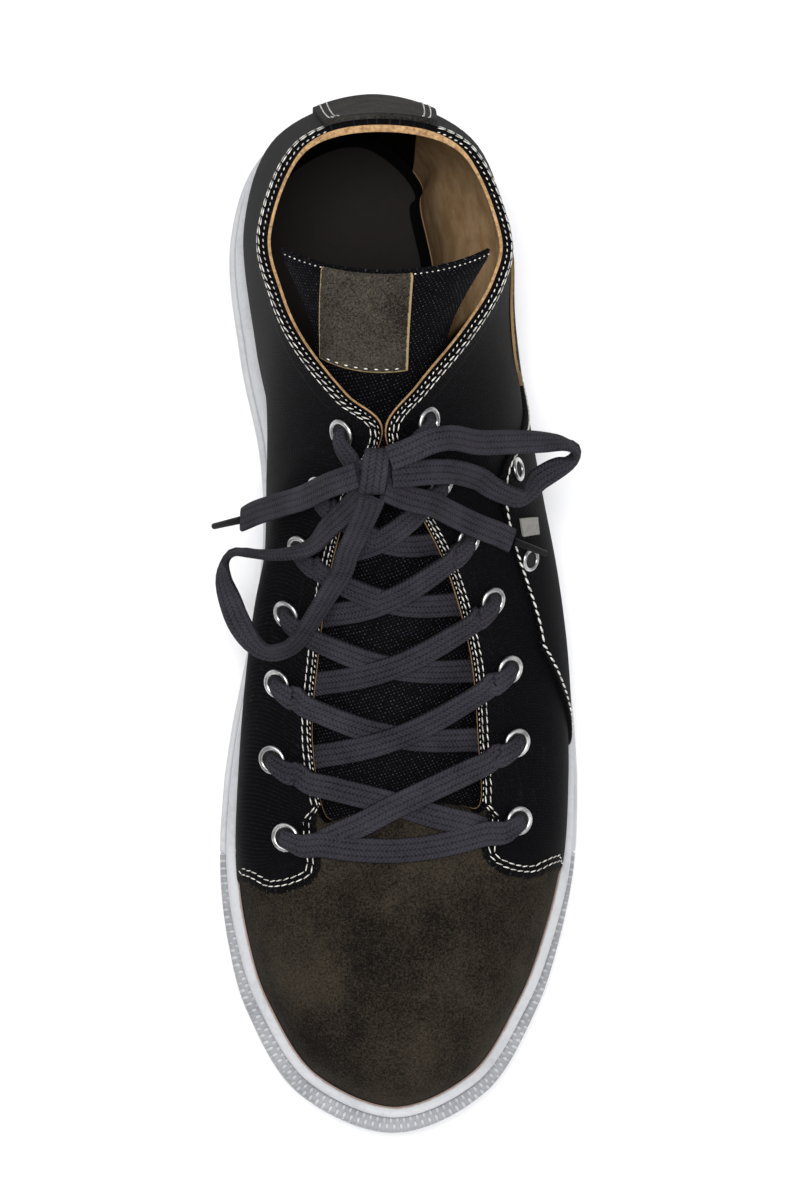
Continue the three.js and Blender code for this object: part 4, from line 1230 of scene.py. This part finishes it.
# A plan line laid on the wall, found step by step from a place near its first point
def layOnWall(line, start):
    made = []
    u, v = start
    for x, y in line:
        for _ in range(12):
            here = wallPoint(u, v)
            alongU = (wallPoint(u + 0.01, v) - here) / 0.01
            alongV = (wallPoint(u, v + 0.01) - here) / 0.01
            area = alongU.x * alongV.y - alongU.y * alongV.x
            dx, dy = x - here.x, y - here.y
            u += clamp((dx * alongV.y - dy * alongV.x) / area, -0.3, 0.3)
            v = clamp(v + clamp((dy * alongU.x - dx * alongU.y) / area, -0.1, 0.1), 0.02, 0.995)
        made.append((u, v))
    return made


# Where a strand goes in under the other edge, and over the vamp for the first one
def farEnd(row, index):
    if index == 1:
        side = 1 if row[1][0] < row[0][0] else -1
        along, out = lowEnds[side]
        u, v = layOnWall([(placeX(out), placeY(along))], (ribCount / 2 - side * 2.4, 0.9))[0]
        return offWall(u, v, -0.4)
    here, before = row[index - 1][0], row[max(index - 2, 0)][0]
    if index == 2:
        before = here + (here - row[index][0])
    return offWall(here + lowered * (before - here), 0.97, -last["wall"] - laceRise)


def crossLace(name, row, otherRow, index, bump, node=None):
    u, v = row[index]
    edgeU = u + 0.45 * (row[index - 1][0] - u)
    edge = offWall(edgeU, 1, overBand)
    stations = outOfEyelet(u, v, edge)
    wide, thick = laceSize["wide"], laceSize["thick"]
    between = u + 0.72 * (edgeU - u)
    stations.append((offWall(between, 1 - 0.25 * (1 - v), overBand), wallNormal(between, v), wide, thick))
    stations.append((edge, wallNormal(edgeU, 1), wide, thick))
    under = farEnd(otherRow, index)
    top = len(tongueRows) - 1
    for part in (0.12, 0.24, 0.36, 0.48, 0.6, 0.72, 0.84, 0.94, 1.03):
        wanted = edge.lerp(under, part)
        wanted.y -= (4 if index > 1 else 0) * math.sin(math.pi * min(part, 1))
        down = 0.5 - wanted.y / last["length"] - tongueRows[0][0]
        start = top * down / (tongueRows[-1][0] - tongueRows[0][0])
        point, facing = surfaceAt(lambda a, b: tonguePoint(a, b, laceRise), (start, 0), wanted.x, wanted.y)
        if point.z < wanted.z:
            point = wanted
        if index == 1:
            side = 1 if under.x > 0 else -1
            wallU, wallV = layOnWall([(wanted.x, wanted.y)], (ribCount / 2 - side * (part * 2.4), 0.95))[0]
            onVamp = offWall(wallU, wallV, laceRise + 0.9 - 2.4 * smooth(part, 0.95, 1.03))
            point = wanted + upward * 3.2 * math.sin(math.pi * min(part, 1))
            facing = Vector((0.45 * side * part, -0.3, 1)).normalized()
            if wallV < 0.99 and (onVamp.z > point.z or part > 0.95):
                point = onVamp
        point = point + upward * (bump * math.sin(math.pi * min(part, 1)) ** 2)
        stations.append((point, facing, wide, thick))
    piece = makeRibbon(name, swept(stations, 4))
    if node:
        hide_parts(node)


def makeLaces():
    for index in range(1, eyeletLine["count"] - 1):
        crossLace(f"lace_{index + 1}_inner", innerRow, outerRow, index, 0, f"lace_cross_{index + 1}")
        crossLace(f"lace_{index + 1}_outer", outerRow, innerRow, index, laceSize["thick"] * 0.95)
    wide, thick = laceSize["wide"], laceSize["thick"]
    (leftU, leftV), (rightU, rightV) = innerRow[0], outerRow[0]
    left, right = offWall(leftU, leftV, overRing), offWall(rightU, rightV, overRing)
    front = Vector((0, -9, 0))
    stations = outOfEyelet(leftU, leftV, right + front * 2.2)
    for part in (0.16, 0.28, 0.4, 0.5, 0.6, 0.72, 0.84):
        wanted = left.lerp(right, part)
        wanted.y -= 6 * math.sin(math.pi * part)
        offset = quarterStep + laceRise + 1.8 * (2 * part - 1) ** 2
        first = (leftU + part * (rightU - leftU), leftV)
        point, facing = surfaceAt(lambda a, b: offWall(a, b, offset), first, wanted.x, wanted.y)
        stations.append((point, facing, wide, thick))
    stations += reversed(outOfEyelet(rightU, rightV, left + front * 2.2))
    piece = makeRibbon("lace_bar", swept(stations, 4))
    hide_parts("lace_bar_1")
    stations = []
    under = knotMiddle - upward * (3.5 + 0.7 + thick / 2)
    for row in (innerRow, outerRow):
        u, v = row[-1]
        edgeU = u + 0.6 * math.copysign(1, row[0][0] - u)
        edge = offWall(edgeU, 1, overBand + 0.6)
        half = outOfEyelet(u, v, edge) + [(edge, wallNormal(edgeU, 1), wide * 0.9, thick)]
        if row is innerRow:
            stations += half + [(under, upward, wide * 0.8, thick * 1.2)]
        else:
            stations += reversed(half)
    piece = makeRibbon("lace_top", swept(stations, 4))
    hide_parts("lace_row_7")


knotSize = {"wide": 3.7, "long": 6.4, "high": 3.2}
wrapSize = {"wide": 0.84, "long": 5.6, "high": 3.3, "thick": 1.5}


def makeKnot():
    body = bmesh.new()
    bmesh.ops.create_icosphere(body, subdivisions=4, radius=1)
    for vert in body.verts:
        angle = math.atan2(vert.co.x, vert.co.z)
        wrinkle = 1 + 0.06 * math.sin(angle * 5 + vert.co.y * 3)
        size = (knotSize["wide"] * wrinkle, knotSize["long"], knotSize["high"] * wrinkle)
        vert.co = knotMiddle + Vector([part * share for part, share in zip(vert.co, size)])
    piece = link(body, "bow_knot", lace)
    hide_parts("lace_knot")
    stations = []
    for k in range(49):
        angle = 2 * math.pi * k / 48 + 2.4
        out = Vector((0, math.cos(angle), math.sin(angle)))
        reach = Vector((out.y * wrapSize["wide"], out.y * wrapSize["long"], out.z * wrapSize["high"]))
        stations.append((knotMiddle + reach, out, laceSize["wide"], wrapSize["thick"]))
    wrap = makeRibbon("bow_wrap", stations)


makeLaces()
makeKnot()

print("stitches")


# rows of thread: pitch, length and thickness in millimetres, then the slant in degrees
threads = {
    "edge": (2.6, 2.7, 0.42, 7), "dots": (1.7, 1.1, 0.38, 12), "panel": (2.75, 3.0, 0.7, 12),
    "heel": (3.4, 2.3, 0.45, 0), "label": (2.8, 1.3, 0.42, 0), "tongue": (1.6, 0.7, 0.4, 0),
}

# gaps below the rim, each row's with its distance behind the quarters' front edge
seams = {"dots": -1.5, "rows": ((-0.35, 2.0), (1.2, 3.5))}


# Stitches along points with their normals, each turned a little by chance
def sewRow(body, points, kind):
    pitch, length, thick, slant = threads[kind]
    run, target = 0.0, pitch * 0.5
    for (start, normalA), (end, normalB) in zip(points, points[1:]):
        part = (end - start).length
        while part > 0 and run + part >= target:
            share = (target - run) / part
            normal = normalA.lerp(normalB, share).normalized()
            across = normal.cross((end - start).normalized()).normalized()
            turn = (slant + chance.uniform(-5, 5)) * degree
            way = across.cross(normal) * math.cos(turn) + across * math.sin(turn)
            turned = Matrix((way, normal.cross(way), normal)).transposed().to_4x4()
            middle = Matrix.Translation(start.lerp(end, share) + normal * thick * 0.25)
            size = Matrix.Diagonal((length / 2, thick / 2, thick / 2 * 0.75, 1))
            bmesh.ops.create_icosphere(body, subdivisions=1, radius=1, matrix=middle @ turned @ size)
            target += pitch
        run += part


def seated(u, v, offset):
    return offWall(u, v, offset), wallNormal(u, v)


def onTongue(s, w, offset):
    return tonguePoint(s, w, offset), (tonguePoint(s, w, 3) - tonguePoint(s, w, 0)).normalized()


# A place on the edge band: a gap below the rim, or one less than nothing in over the rounded edge
def bandSpot(u, gap):
    band = last["quarterStep"] + last["bandStep"]
    if gap >= 0:
        return seated(u, below(u, gap), band)
    ahead = (wallPoint(u, 1) - wallPoint(u, 0.97)).normalized()
    share = 1 + 2 * gap / (band + last["wall"])
    rise = rimShape["dome"] * math.sqrt(max(0, 1 - share * share)) - rimShape["sunk"]
    facing = (ahead + wallNormal(u, 1) * max(share, 0) * 1.5).normalized()
    return offWall(u, 1, band + gap) + ahead * rise, facing


def edgePath(gap, places):
    return [bandSpot(u, gap) for u in places]


def spread(start, end, count):
    return [start + (end - start) * k / count for k in range(count + 1)]


# The quarters' front contour from the throat out to the rubber, moved back by a distance
def frontRows(side, back):
    line = []
    for start, end in zip(frontLine, frontLine[1:]):
        way = (end - start).normalized()
        line.append((start + end) / 2 + Vector((-way.y, way.x)) * back)
    line = [spot for spot in line if spot.x * side > 0 and spot.y < placeY(0.694)]
    if side < 0:
        line.reverse()
    placed = layOnWall(line, (ribCount / 2 - side * 3.1, 0.95))
    return [(u, v) for u, v in placed if 0.985 > v > 0.035]


def trimmed(places, back):
    kept = []
    for u in places:
        bare = wallPoint(u, below(u, back))
        if not 8 < u % ribCount < 20 or frontGap(bare.x, bare.y) > back * 0.85:
            kept.append(u)
    return kept


def makeStitches():
    body = bmesh.new()
    whole = spread(throatInner - ribCount - 0.6, throatOuter + 0.6, 300)
    for side in (-1, 1):
        part = [u for u in whole if u * side > stripHalf]
        for back, frontBack in seams["rows"]:
            front = [seated(u, v, skinRise(u, v)[0] + 0.05) for u, v in frontRows(side, frontBack)]
            throat = edgePath(back, trimmed(part, max(back, 0.4)))
            path = throat + front if side > 0 else list(reversed(front)) + throat
            sewRow(body, path, "edge")
        sewRow(body, edgePath(seams["dots"], trimmed(part, 0.4)), "dots")
    seam = [
        (offWall(u, panelEdge(u) - 0.015, panelOuter), wallNormal(u, panelEdge(u)))
        for u in spread(0.7, 8.1, 160)
    ]
    seam += [seated(8.14, v, panelOuter) for v in spread(panelEdge(8.14) - 0.02, 0.03, 30)]
    sewRow(body, seam, "panel")
    for side in (-1, 1):
        for inset in (0.06, 0.12):
            u = side * (stripHalf - inset)
            heights = spread(0.05, 0.985, 60)
            line = [seated(u, v, heelOuter + last["bandStep"] * smooth(v, 0.9, 0.92)) for v in heights]
            sewRow(body, line, "heel")
    row = labelLow + 0.055
    places = spread(labelLeft + 1.8, labelLeft + labelSize["wide"] - 1.8, 30)
    sewRow(body, [onTongue(row, labelW(place, row), 1.75) for place in places], "label")
    row = len(tongueRows) - 1.05
    sewRow(body, [onTongue(row, w, 0.0) for w in spread(-0.97, 0.97, 80)], "tongue")
    piece = link(body, "stitching", thread, sharp=0)


makeStitches()

print("carried-over pieces and floor")


def dressNode(name, finish):
    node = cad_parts[name]
    node.data.materials.clear()
    node.data.materials.append(finish.material)


dressNode("outsole", tread)
dressNode("insole", footbed)


def makeFloor():
    body = bmesh.new()
    bmesh.ops.create_grid(body, x_segments=2, y_segments=2, size=studio["floorHalf"] / mm)
    bmesh.ops.translate(body, vec=(0, 0, studio["floorAt"]), verts=body.verts)
    finish = Finish("floor", 0.9)
    finish.shader.inputs["Base Color"].default_value = (*tint(studio["floor"]), 1)
    floor = link(body, "floor", finish, ridden=False)


makeFloor()
